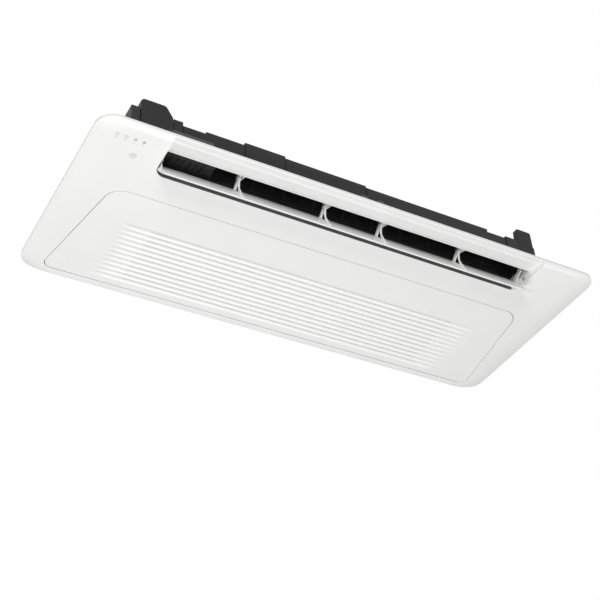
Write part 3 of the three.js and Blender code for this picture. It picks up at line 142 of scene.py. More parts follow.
MATERIALS = {
    # ABS, injection moulded in a fine spark-eroded tool: matt white with a hardly visible grain
    "panel_white": surface("abs_moulded_matt_white", "#f3f3f2", "#f1f1f0", 90, 0.9, 0.03,
                           roughness=0.44, IOR=1.53),
    # the same ABS from a smoother tool, so it shines a little more
    "duct_white": surface("abs_moulded_satin_white", "#ececeb", "#e8e8e8", 70, 1.2, 0.02,
                          roughness=0.36, IOR=1.53),
    # polycarbonate, smooth and faintly smoked: the receiver window looks pale grey
    "lens": surface("polycarbonate_smoked", "#e1e1e2", "#dcdcdd", 20, 0.8, 0.005,
                    roughness=0.18, IOR=1.58),
    # acrylic light guide, frosted at its ends
    "light_guide": surface("acrylic_frosted", "#d9dbdc", "#d2d4d6", 10, 0.5, 0.01,
                           roughness=0.3, IOR=1.49),
    # polystyrene casing moulded with a coarse grain: charcoal, soft broad highlights
    "chassis_dark": surface("polystyrene_grained_charcoal", "#29292b", "#262628", 60, 1.4, 0.1,
                            roughness=0.56, **{"Specular IOR Level": 0.25}),
    # steel sheet with a matt powder coat: fine orange peel
    "base_dark": surface("steel_powder_coated_black", "#2c2c2e", "#29292a", 50, 0.7, 0.05,
                         roughness=0.5, **{"Specular IOR Level": 0.3}),
    # glass-filled styrene fan: nearly black, with a low sheen along the blades
    "fan_black": surface("styrene_glass_filled_black", "#363638", "#3f3f41", 25, 1.0, 0.04,
                         roughness=0.4, **{"Specular IOR Level": 0.4}),
    # EPDM rubber and foam: dead matt black
    "rubber_black": surface("epdm_rubber_black", "#1d1d1e", "#171718", 15, 1.6, 0.12,
                            roughness=0.85, **{"Specular IOR Level": 0.2}),
    # polypropylene netting and frame
    "filter_dark": surface("polypropylene_dark_grey", "#303134", "#2a2b2e", 30, 1.0, 0.03,
                           roughness=0.5, IOR=1.49),
    # hot-dip galvanised sheet: grey metal with broad dull crystals
    "sheet_steel": surface("steel_galvanised_sheet", "#c3c6c8", "#a9adb1", 7, 1.5, 0.03,
                           roughness=0.42, Metallic=1.0),
    # motor can, drawn from zinc plated steel
    "motor_steel": surface("steel_zinc_plated_can", "#bfc2c4", "#b0b3b6", 30, 0.8, 0.02,
                           stretch=(0.15, 1, 1), roughness=0.3, Metallic=1.0),
    # aluminium fin stock with a clear water-shedding coat
    "fin_aluminium": surface("aluminium_fin_stock", "#cfd3d6", "#bcc1c6", 12, 0.8, 0.02,
                             roughness=0.34, Metallic=1.0),
    # drawn copper tube, dulled by handling
    "copper_tube": surface("copper_drawn_tube", "#bd7850", "#a2643f", 14, 0.9, 0.02,
                           roughness=0.34, Metallic=1.0),
    # forged and turned brass
    "nut_brass": surface("brass_turned_nut", "#bfa25a", "#ab8f4b", 9, 0.7, 0.02,
                         roughness=0.3, Metallic=1.0),
    # glass-epoxy circuit board under green solder resist
    "board_green": surface("glass_epoxy_board_green", "#1f5f3d", "#1a5435", 8, 0.6, 0.02,
                           roughness=0.35, IOR=1.5),
    # expanded polystyrene drain pan with a vacuum-formed white liner
    "pan_white": surface("styrene_liner_white", "#e6e7e6", "#dfe1e0", 40, 2.2, 0.08,
                         roughness=0.5, IOR=1.59),
}
# a grey sheet over the slot's far wall: painted shade for that white wall in deep shadow, a little lighter
# than the rubber behind it
SLOT_WALL_PAINTED_SHADE = surface("slot_wall_painted_shade_grey", "#5e5e60", "#555557", 12, 1.2, 0.1, roughness=0.8,
                    **{"Specular IOR Level": 0.2})
# edge of the steel base plate, a lighter grey than its black coat: painted light for the light its edges
# catch
FLANGE_PAINTED_LIGHT = surface("steel_coated_painted_light_grey", "#4b4c4f", "#444548", 30, 0.8, 0.04, roughness=0.45,
                 **{"Specular IOR Level": 0.4})
# the pictograms beside the receiver are printed in pale grey ink
INK = surface("screen_print_pale_grey", "#b9bbbe", "#b4b6b9", 6, 0.5, 0.004, roughness=0.5, IOR=1.5)


# ------------------------------------------------------------------ shapes worked out with numpy
def grid(points, wrap_rows=False, wrap_columns=False):
    """A sheet of four-sided faces over points[row, column], closed along either way if it wraps."""
    rows, columns = points.shape[:2]
    index = np.arange(rows * columns).reshape(rows, columns)
    if wrap_rows:
        index = np.vstack([index, index[:1]])
    if wrap_columns:
        index = np.hstack([index, index[:, :1]])
    corners = [index[:-1, :-1], index[:-1, 1:], index[1:, 1:], index[1:, :-1]]
    return points.reshape(-1, 3), np.stack(corners, -1).reshape(-1, 4).tolist()


def join(*forms):
    """Several forms as one: their points in a row and their faces counted on."""
    points, faces, start = [], [], 0
    for form_points, form_faces in forms:
        points.append(np.asarray(form_points, float))
        faces += [[k + start for k in face] for face in form_faces]
        start += len(form_points)
    return np.vstack(points), faces


def masked_plate(front, back, keep=None):
    """A closed plate between two layers of points, without the cells where keep is False. Walls
    stand wherever a kept cell borders on a missing one or on the edge."""
    rows, columns = front.shape[:2]
    if keep is None:
        keep = np.ones((rows - 1, columns - 1), bool)
    shift = rows * columns
    index = np.arange(shift).reshape(rows, columns)
    a, b, c, d = (m[keep] for m in (index[:-1, :-1], index[:-1, 1:], index[1:, 1:], index[1:, :-1]))
    faces = [np.stack([a, b, c, d], -1), np.stack([d, c, b, a], -1) + shift]
    padded = np.pad(keep, 1)
    for edge_in, edge_out, p, q in (
        (padded[1:-1, 1:-1], padded[:-2, 1:-1], index[:-1, :-1], index[:-1, 1:]),
        (padded[1:-1, 1:-1], padded[2:, 1:-1], index[1:, 1:], index[1:, :-1]),
        (padded[1:-1, 1:-1], padded[1:-1, :-2], index[1:, :-1], index[:-1, :-1]),
        (padded[1:-1, 1:-1], padded[1:-1, 2:], index[:-1, 1:], index[1:, 1:]),
    ):
        wall = edge_in & ~edge_out
        faces.append(np.stack([q[wall], p[wall], p[wall] + shift, q[wall] + shift], -1))
    points = np.vstack([front.reshape(-1, 3), back.reshape(-1, 3)])
    faces = np.vstack(faces)
    used = np.unique(faces)
    number = np.zeros(len(points), int)
    number[used] = np.arange(len(used))
    return points[used], number[faces].tolist()


def arc_corner(before, here, after, radius, steps):
    """Points and outward normals round one corner of an anticlockwise outline: an arc of the radius
    that touches both sides, or the corner twice where the radius is nothing."""
    back, ahead = before - here, after - here
    back, ahead = back / np.linalg.norm(back), ahead / np.linalg.norm(ahead)
    if radius == 0:
        normals = np.array([[-back[1], back[0]]] * steps + [[ahead[1], -ahead[0]]] * steps)
        return np.repeat(here[None], 2 * steps, 0), normals
    half = math.acos(np.clip(back @ ahead, -1, 1)) / 2
    middle = (back + ahead) / np.linalg.norm(back + ahead)
    centre = here + middle * radius / math.sin(half)
    reach = radius / math.tan(half)
    first, last = here + back * reach - centre, here + ahead * reach - centre
    start = math.atan2(first[1], first[0])
    turn = (math.atan2(last[1], last[0]) - start + math.pi) % (2 * math.pi) - math.pi
    angles = start + turn * np.linspace(0, 1, 2 * steps)
    normals = np.stack([np.cos(angles), np.sin(angles)], 1)
    return centre + radius * normals, normals * (1 if turn > 0 else -1)


def outline(corners, counts, steps=14):
    """A closed outline through corners (u, v, radius), anticlockwise: each side runs from the middle
    of one corner's arc to the middle of the next in counts[side] equal steps. Points and normals."""
    spots = [np.array(c[:2], float) for c in corners]
    n = len(corners)
    arcs = [arc_corner(spots[k - 1], spots[k], spots[(k + 1) % n], corners[k][2], steps) for k in range(n)]
    points, normals = [], []
    for k in range(n):
        path = np.vstack([arcs[k][0][steps:], arcs[(k + 1) % n][0][:steps]])
        facing = np.vstack([arcs[k][1][steps:], arcs[(k + 1) % n][1][:steps]])
        if corners[k][2]:
            middle = arcs[k][0][steps - 1:steps + 1].mean(0)
            path = np.vstack([middle[None], path])
            facing = np.vstack([arcs[k][1][steps - 1:steps + 1].mean(0)[None], facing])
        run = np.r_[0, np.cumsum(np.linalg.norm(np.diff(path, axis=0), axis=1))]
        at = np.linspace(0, run[-1], counts[k] + 1)[:-1]
        keep = np.r_[True, np.diff(run) > 1e-9]
        points.append(np.stack([np.interp(at, run[keep], path[keep, c]) for c in (0, 1)], 1))
        facing = np.stack([np.interp(at, run[keep], facing[keep, c]) for c in (0, 1)], 1)
        normals.append(facing / np.linalg.norm(facing, axis=1, keepdims=True))
    return np.vstack(points), np.vstack(normals)


def shrunk(loop, by):
    """A closed outline moved inwards (to its left) by a distance, mitred at its corners."""
    into = loop - np.roll(loop, 1, 0)
    away = np.roll(loop, -1, 0) - loop
    into /= np.linalg.norm(into, axis=1, keepdims=True)
    away /= np.linalg.norm(away, axis=1, keepdims=True)
    left = np.stack([-(into + away)[:, 1], (into + away)[:, 0]], 1)
    left /= np.maximum(np.linalg.norm(left, axis=1, keepdims=True), 1e-9)
    reach = 1 / np.maximum(left[:, 0] * -into[:, 1] + left[:, 1] * into[:, 0], 0.5)
    return loop + left * by * reach[:, None]


def on_plane(flat, along, plane):
    """Points (u, v) of an outline at a distance along the plane's normal, as x, y, z."""
    along = np.full(len(flat), float(along)) if np.isscalar(along) else along
    u, v = flat[:, 0], flat[:, 1]
    return np.stack({"xy": (u, v, along), "yz": (along, u, v), "xz": (u, along, v)}[plane], 1)


def slab(loops, low, high, plane="xy", edge=0.4):
    """A flat plate: its first outline runs anticlockwise and the others, its holes, clockwise. It
    goes from low to high along the plane's normal, and its edges are broken by a small chamfer."""
    loops = [np.asarray(loop, float) for loop in loops]
    inner = [shrunk(loop, edge) for loop in loops]
    layers = [(low, inner), (low + edge, loops), (high - edge, loops), (high, inner)]
    count = sum(len(loop) for loop in loops)
    points = np.vstack([on_plane(loop, at, plane) for at, rings in layers for loop in rings])
    faces, start = [], 0
    for loop in loops:
        ring = np.arange(len(loop)) + start
        after = np.roll(ring, -1)
        wall = np.stack([ring, after, after + count, ring + count], 1)
        faces += np.vstack([wall + k * count for k in range(3)]).tolist()
        start += len(loop)
    caps = tessellate_polygon([[Vector((*p, 0)) for p in loop] for loop in inner])
    flat = np.vstack(inner)
    for a, b, c in caps:
        (ax, ay), (bx, by), (cx, cy) = flat[a], flat[b], flat[c]
        if (bx - ax) * (cy - ay) - (by - ay) * (cx - ax) < 0:
            b, c = c, b
        faces.append([a, c, b])
        faces.append([a + 3 * count, b + 3 * count, c + 3 * count])
    return points, faces


def block(low, high, edge=0.5):
    """A box from corner to corner with its edges broken."""
    (x0, y0, z0), (x1, y1, z1) = low, high
    return slab([[(x0, y0), (x1, y0), (x1, y1), (x0, y1)]], z0, z1, "xy", edge)


def oblong(x, y0, y1, r0, r1):
    """Corners (x, y, radius) of an oblong from -x to x and from y0 to y1, anticlockwise, with one
    radius at y0 and one at y1."""
    return [(-x, y0, r0), (x, y0, r0), (x, y1, r1), (-x, y1, r1)]


def circle(u, v, radius, sides=32, clockwise=False):
    """Points on a circle about (u, v). A clockwise one is a hole in a slab."""
    turn = np.linspace(0, 2 * math.pi, sides, endpoint=False) * (-1 if clockwise else 1)
    return np.stack([u + radius * np.cos(turn), v + radius * np.sin(turn)], 1)


def turned(profile, centre, axis, sides=48, ring=False):
    """A profile of (distance along the axis, radius) turned about an axis through the centre. A ring's
    profile is a closed outline; a solid's starts and ends on the axis."""
    profile = np.asarray(profile, float)
    turn = np.linspace(0, 2 * math.pi, sides, endpoint=False)
    along = np.repeat(profile[:, :1], sides, 1)
    wide, high = profile[:, 1:] * np.cos(turn), profile[:, 1:] * np.sin(turn)
    order = {"x": (along, wide, high), "y": (wide, along, high), "z": (wide, high, along)}[axis]
    return grid(np.stack(order, -1) + np.asarray(centre, float), ring, True)


def rod(centre, axis, radius, start, end, sides=32, edge=0.4):
    """A round bar with broken edges; start and end are along the axis, from the centre."""
    return turned([(start, 0), (start, radius - edge), (start + edge, radius), (end - edge, radius),
                   (end, radius - edge), (end, 0)], centre, axis, sides)


def opened(points):
    """Points drawn for the closed vane, about its pivot, turned to the angle at which it hangs open."""
    cos, sin = math.cos(math.radians(OPEN_DEG)), math.sin(math.radians(OPEN_DEG))
    x, y, z = points[:, 0], points[:, 1], points[:, 2]
    return np.stack([x, PIVOT_Y + y * cos - z * sin, PIVOT_Z + y * sin + z * cos], 1)


# ------------------------------------------------------------------ pieces
def mesh_of(name, forms, sharp):
    """Each form is welded and its faces turned outwards by itself, then all become one mesh."""
    whole = bmesh.new()
    for points, faces in forms:
        part = bpy.data.meshes.new("part")
        part.from_pydata((np.asarray(points, float) * MM).tolist(), [], faces)
        work = bmesh.new()
        work.from_mesh(part)
        bmesh.ops.remove_doubles(work, verts=work.verts, dist=2e-6)
        bmesh.ops.recalc_face_normals(work, faces=work.faces)
        work.to_mesh(part)
        work.free()
        whole.from_mesh(part)
        bpy.data.meshes.remove(part)
    mesh = bpy.data.meshes.new(name)
    whole.to_mesh(mesh)
    whole.free()
    mesh.shade_smooth()
    mesh.set_sharp_from_angle(angle=math.radians(sharp))
    return mesh


def piece(name, forms, slot, body, instead_of=(), sharp=34, material=None):
    """A new piece of the object, in its finish, riding on its body and standing for CAD nodes."""
    made = bpy.data.objects.new(name, mesh_of(name, forms, sharp))
    bpy.context.collection.objects.link(made)
    made.data.materials.append(material or MATERIALS[slot])
    weighted = made.modifiers.new("flat_faces_stay_flat", "WEIGHTED_NORMAL")
    weighted.keep_sharp = True
    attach(made, body)
    if instead_of:
        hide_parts(*instead_of)
    return made


def softened(name, source, slot, body, width):
    """A CAD node whose shape is right, with its flat faces merged and its edges rounded."""
    work = bmesh.new()
    work.from_mesh(frame["nodes"][source].data)
    bmesh.ops.remove_doubles(work, verts=work.verts, dist=2e-6)
    bmesh.ops.dissolve_limit(work, angle_limit=math.radians(1.0), verts=work.verts, edges=work.edges)
    mesh = bpy.data.meshes.new(name)
    work.to_mesh(mesh)
    work.free()
    mesh.materials.clear()
    mesh.materials.append(MATERIALS[slot])
    made = bpy.data.objects.new(name, mesh)
    bpy.context.collection.objects.link(made)
    bevel = made.modifiers.new("soft_edges", "BEVEL")
    bevel.width, bevel.segments = width * MM, 2
    bevel.limit_method, bevel.angle_limit = "ANGLE", math.radians(35)
    bevel.use_clamp_overlap, bevel.harden_normals = True, True
    mesh.shade_smooth()
    mesh.set_sharp_from_angle(angle=math.radians(40))
    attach(made, body)
    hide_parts(source)
    return made


# ------------------------------------------------------------------ front panel
def face_height(x, y):
    """Height of the panel's face. Its level lines are rounded rectangles, drawn in from the rim by
    CROWN_X and CROWN_Y times t, and the face drops from the rim by 1 - (1 - t) to a power."""
    low, high = np.zeros(np.shape(x)), np.ones(np.shape(x))
    for _ in range(24):
        t = (low + high) / 2
        across = np.abs(x) - (HALF_LENGTH - CROWN_X * t - PANEL_CORNER)
        along = np.abs(y) - (HALF_DEPTH - CROWN_Y * t - PANEL_CORNER)
        outside = np.hypot(np.maximum(across, 0), np.maximum(along, 0))
        outside = outside + np.minimum(np.maximum(across, along), 0) - PANEL_CORNER
        low, high = np.where(outside < 0, t, low), np.where(outside < 0, high, t)
    return -RIM - (DROP - RIM) * (1 - (1 - low) ** CROWN_POWER)


def at_height(flat, z):
    """Points (x, y) at one height, or at a height each."""
    return np.column_stack([flat, z if np.ndim(z) else np.full(len(flat), z)])


def panel_ring(hole, outer, back_outer, counts, top, edge_r):
    """The face and the back of the panel between a hole and an outer line, and the hole's own wall:
    rows of the hole's outline, moved outwards, turn over edge_r onto the face and then run to the
    outer line, at 1 - (1 - s) squared of the way. The back's rows run home at a power of 0.6."""
    edge, normal = outline(hole, counts)
    rim, rim_normal = outline(outer, counts)
    back_rim, _ = outline(back_outer, counts)
    rows = [at_height(edge, top)]
    for turn in np.radians((0, 30, 60)):
        step = edge + normal * edge_r * (1 - math.cos(turn))
        rows.append(at_height(step, face_height(*step.T) + edge_r * (1 - math.sin(turn))))
    start = edge + normal * edge_r
    for s in np.linspace(0, 1, 30):
        flat = start + (rim - start) * (1 - (1 - s) ** 2.0)
        rows.append(at_height(flat, face_height(*flat.T)))
    front = np.stack(rows)
    thick = edge + normal * 1.2
    rows = []
    for s in np.linspace(0, 1, 12):
        flat = back_rim + (thick - back_rim) * (1 - (1 - s) ** 0.6)
        rows.append(at_height(flat, face_height(*flat.T) + SKIN))
    rows.append(at_height(thick, top))
    rows.append(at_height(edge, top))
    return front, np.stack(rows), rim, rim_normal, back_rim


def front_panel():
    """The moulded panel: two rings of skin, round the outlet slot and round the grille's opening, meet
    on SPLIT_Y, and the square rim closes them. The ledge lies before the slot. Behind the skin are a
    flat back plate with its openings and the two lugs that the grille hangs from."""
    counts = [260, 64, 260, 64]     # steps along each ring's four sides
    wall = 1.6                      # thickness of the square rim

    def half(y0, y1, r0, r1, by=0.0, skip=None):
        """One half of the panel's outline, moved in by a distance on all sides but the one to skip."""
        low = y0 + (0 if skip == "low" else by)
        high = y1 - (0 if skip == "high" else by)
        return oblong(HALF_LENGTH - by, low, high, max(r0 - by, 0), max(r1 - by, 0))

    slot = oblong(SLOT_HALF, SLOT_NEAR, SLOT_FAR, SLOT_NEAR_CORNER, SLOT_FAR_CORNER)
    opening = [(x + math.copysign(SEAM, x), y + (FAR_SEAM if y > 0 else -SEAM), r + SEAM)
               for x, y, r in GRILLE]
    lower = panel_ring(slot, half(-HALF_DEPTH, SPLIT_Y, PANEL_CORNER, 0),
                       half(-HALF_DEPTH, SPLIT_Y, PANEL_CORNER, 0, wall, "high"), counts, -0.2, 0.6)
    # the opening's inner wall stops short at its far corners, where the grille's corners swing up
    around, _ = outline(opening, counts)
    corner = np.minimum(np.abs(around[:, 0]) - 524, around[:, 1] - 204)
    top = np.interp(corner, [0, 1.5], [-2.6, SKIN - DROP - 0.1])
    upper = panel_ring(opening, half(SPLIT_Y, HALF_DEPTH, 0, PANEL_CORNER),
                       half(SPLIT_Y, HALF_DEPTH, 0, PANEL_CORNER, wall, "low"), counts, top, 0.7)
    starts = [0, *np.cumsum(counts)]
    # the sides of the two rings that lie on the rim, in order round the panel
    order = [(lower, 0), (lower, 1), (upper, 1), (upper, 2), (upper, 3), (lower, 3)]
    rim, normal, behind = (np.vstack([ring[k][starts[side]:starts[side + 1]] for ring, side in order])
                           for k in (2, 3, 4))
    rim_rows = [
        at_height(rim, face_height(*rim.T)),
        at_height(rim, -RIM + 0.3),
        at_height(rim, -0.5),
        at_height(rim - normal * 0.5, 0.0),
        at_height(behind, 0.0),
        at_height(behind, face_height(*behind.T) + SKIN),
    ]
    shell = join(grid(lower[0], False, True), grid(lower[1], False, True), grid(upper[0], False, True),
                 grid(upper[1], False, True), grid(np.stack(rim_rows), False, True))

    # the ledge runs along the slot's near side, from the rim up to a small groove
    ledge = recess_strip([(-248.6, -5.6), (-248.2, -5.5), (-247.0, -5.1), (-240, -3.6), (-234, -2.45),
                          (-229.6, -1.7), (-228.8, -2.1), (-228.0, -2.35), (-227.2, -2.1), (-226.9, -1.2)],
                         (1.0, 2.6))
    # the back plate, with the filter's window, the slot and the holes for screws and latches
    plate_outline, _ = outline(half(-HALF_DEPTH, HALF_DEPTH, PANEL_CORNER, PANEL_CORNER, 1.0), [40] * 4)
    window, _ = outline(oblong(444, -18, 202, 8, 8), [16] * 4)
    gap, _ = outline(oblong(SLOT_HALF, SLOT_NEAR - 0.8, -127.5, 3, 4), [16] * 4)
    holes = [circle(s * SCREW_X, y, 2.6, 20, True) for s in (-1, 1) for y in SCREW_YS]
    holes += [circle(s * LATCH_X, -46, 4.4, 24, True) for s in (-1, 1)]
    plate = slab([plate_outline, window[::-1], gap[::-1], *holes], -3.0, -0.05, "xy", 0.3)
    tongue, _ = outline([(HINGE_Y - 2.7, HINGE_Z - 2.7, 2.6), (HINGE_Y + 2.7, HINGE_Z - 2.7, 2.6),
                         (HINGE_Y + 2.7, -2, 0), (HINGE_Y - 2.7, -2, 0)], [10] * 4)
    lug = [tongue, circle(HINGE_Y, HINGE_Z, 1.8, 20, True)]
    lugs = [slab(lug, x - 2, x + 2, "yz", 0.3) for x in (-HINGE_X - 7.5, HINGE_X + 7.5)]
    made = piece("front_panel_moulding", [shell, ledge, plate, *lugs], "panel_white", "chassis",
                 ("front_panel",), 40)
    cut(made, [drill(*BUTTON, BUTTON_R + 0.15)] + [drill(x, LIGHT_Y, LIGHT_R + 0.15) for x in LIGHTS])


def cut(target, forms):
    """Takes closed forms away from a piece's mesh for good."""
    cutter = bpy.data.objects.new("cutter", mesh_of("cutter", forms, 30))
    bpy.context.collection.objects.link(cutter)
    others = list(target.modifiers)
    shown = [m.show_viewport for m in others]
    for m in others:
        m.show_viewport = False
    difference = target.modifiers.new("difference", "BOOLEAN")
    difference.operation, difference.object, difference.solver = "DIFFERENCE", cutter, "EXACT"
    bpy.context.view_layer.update()
    solid = target.evaluated_get(bpy.context.evaluated_depsgraph_get())
    target.data = bpy.data.meshes.new_from_object(solid)
    target.modifiers.remove(difference)
    for m, was in zip(others, shown):
        m.show_viewport = was
    bpy.data.objects.remove(cutter)


def drill(x, y, radius):
    """A round cutter through the face, a little wider at its mouth."""
    z = float(face_height(np.array([x]), np.array([y]))[0])
    return turned([(-2, 0), (-2, radius + 0.35), (0.02, radius + 0.25), (0.3, radius), (4, radius), (4, 0)],
                  (x, y, z), "z", 40)


def recess_strip(profile, fillets):
    """A strip along the slot with a profile of (y, z). At both ends it curves down onto the slot's
    end wall by a quarter circle, whose radius goes from the first to the second of fillets across
    the strip: at an angle a, x is 1 - sin a and the drop 1 - cos a times the radius."""
    profile = np.asarray(profile, float)
    share = (profile[:, 0] - profile[0, 0]) / (profile[-1, 0] - profile[0, 0])
    radius = (fillets[0] + (fillets[1] - fillets[0]) * share)[:, None]
    turn = np.radians(np.linspace(0, 90, 9))
    out, drop = (1 - np.sin(turn))[None], (1 - np.cos(turn))[None]
    middle = np.linspace(-1, 1, 60)[None, 1:-1]
    end = SLOT_HALF + 0.2
    x = np.hstack([-(end - radius * out[:, ::-1]), middle * (end - radius), end - radius * out])
    fall = np.hstack([radius * drop[:, ::-1], np.zeros((len(profile), middle.size)), radius * drop])
    front = np.stack([x, np.repeat(profile[:, :1], x.shape[1], 1), profile[:, 1:] - fall], -1)
    back = front.copy()
    back[..., 2] = profile[:, 1:] + 2.0
    return masked_plate(front, back)


front_panel()


def on_face(form, x, y, proud=0.05, thick=0.12):
    """A flat form drawn about (0, 0), laid on the panel's curved face about (x, y)."""
    points, faces = form
    points = points + np.array([x, y, 0.0])
    points[:, 2] = points[:, 2] * thick - proud + face_height(points[:, 0], points[:, 1])
    return points, faces


def pictograms():
    """Four small printed signs: a ring with a stroke, a framed sheet, a four-leaved rotor, whose
    radius is 1.2 plus 2.8 times |cos 2a| to 0.8, and a drop, a circle drawn thinner at one end."""
    def flat(*loops):
        """A sign's outline with its holes, one unit thick."""
        return slab(list(loops), 0, 1, "xy", 0.02)

    def bar(x0, y0, x1, y1):
        """A printed bar from corner to corner."""
        return flat([(x0, y0), (x1, y0), (x1, y1), (x0, y1)])

    def tile(x, y, radius):
        """A rounded oblong of half sizes x and y."""
        return outline(oblong(x, -y, y, radius, radius), [8] * 4)[0]

    ring = [flat(circle(0, 0, 3.9, 36), circle(0, 0, 3.1, 36, True)), bar(-0.4, -2.0, 0.4, 2.0)]
    sheet = [flat(tile(3.7, 3.3, 1.2), tile(2.9, 2.5, 0.6)[::-1])]
    sheet += [bar(-2.2, y, 2.2, y + 0.5) for y in (-1.2, 0.6)]
    turn = np.linspace(0, 2 * math.pi, 96, endpoint=False)
    reach = 1.2 + 2.8 * np.abs(np.cos(2 * turn)) ** 0.8
    rotor = [flat(np.stack([reach * np.cos(turn + 0.4), reach * np.sin(turn + 0.4)], 1))]
    drop = [flat(np.stack([3.1 * np.sin(turn) * (1 - 0.25 * np.cos(turn)), -3.9 * np.cos(turn)], 1))]
    forms = [on_face(form, x, LIGHT_Y - 8.2) for x, sign in zip(LIGHTS, (ring, sheet, rotor, drop))
             for form in sign]
    piece("printed_pictograms", forms, "duct_white", "chassis", material=INK)


pictograms()


# ------------------------------------------------------------------ intake grille
RIB_COUNT, RIB_PITCH, RIB_START = 12, 15.46, 19.4
RIB_HALF, RIB_FADE = 454.0, 46.0   # where the louvres end, and the length over which they fade out
SLIT_SHARE = (0.33, 0.40)          # where in the pitch the louvre's air slit lies
# shares of the pitch and depths of a louvre's section, from one crest to the next
RIB_PATH = [(0, 0), (0.05, 0.25), (0.12, 0.6), (0.2, 0.95), (0.27, 1.22), (0.33, 1.44), (0.40, 1.64),
            (0.5, 1.84), (0.6, 1.95), (0.68, 1.92), (0.76, 1.6), (0.84, 1.1), (0.92, 0.52), (0.97, 0.15),
            (1, 0)]


def rib_depth(x, y):
    """How far a louvre goes into the grille. Behind a crest it sinks past the air slit along a slope
    that grows gentler, and then it rises steeply to the next crest, as RIB_PATH gives. Towards the
    ends it all fades out by f * f * (3 - 2 f)."""
    along = (y - RIB_START) / RIB_PITCH
    depth = np.interp(along - np.floor(along), *np.array(RIB_PATH).T)
    fade = np.clip((RIB_HALF - np.abs(x)) / RIB_FADE, 0, 1)
    inside = (along >= 0) & (along < RIB_COUNT)
    return depth * fade * fade * (3 - 2 * fade) * inside


def edge_distance(x, y, corners):
    """Distance inwards from a rounded four-sided outline: the least distance from its sides, and out
    beyond the middle of a corner's arc, the radius less the distance from that middle."""
    spots = np.array([c[:2] for c in corners])
    nearest = np.full(np.shape(x), 1e9)
    sides = []
    for k in range(4):
        run = spots[(k + 1) % 4] - spots[k]
        run = run / np.linalg.norm(run)
        inward = np.array([-run[1], run[0]])
        distance = (x - spots[k][0]) * inward[0] + (y - spots[k][1]) * inward[1]
        sides.append((inward, distance))
        nearest = np.minimum(nearest, distance)
    for k, (*_, radius) in enumerate(corners):
        (n0, d0), (n1, d1) = sides[k - 1], sides[k]
        centre = spots[k] + np.linalg.solve(np.array([n0, n1]), [radius, radius])
        dx, dy = x - centre[0], y - centre[1]
        beyond = (dx * -n0[0] + dy * -n0[1] > 0) & (dx * -n1[0] + dy * -n1[1] > 0)
        close = (d0 < radius * 1.2) & (d1 < radius * 1.2)
        nearest = np.where(beyond & close, np.minimum(nearest, radius - np.hypot(dx, dy)), nearest)
    return nearest


def half_width(y):
    """Half the grille's width at y, with its rounded corners taken off."""
    path, _ = outline(GRILLE, [200, 400, 200, 400], 40)
    right = path[path[:, 0] > 300]
    order = np.argsort(right[:, 1])
    return np.interp(y, right[order, 1], right[order, 0])


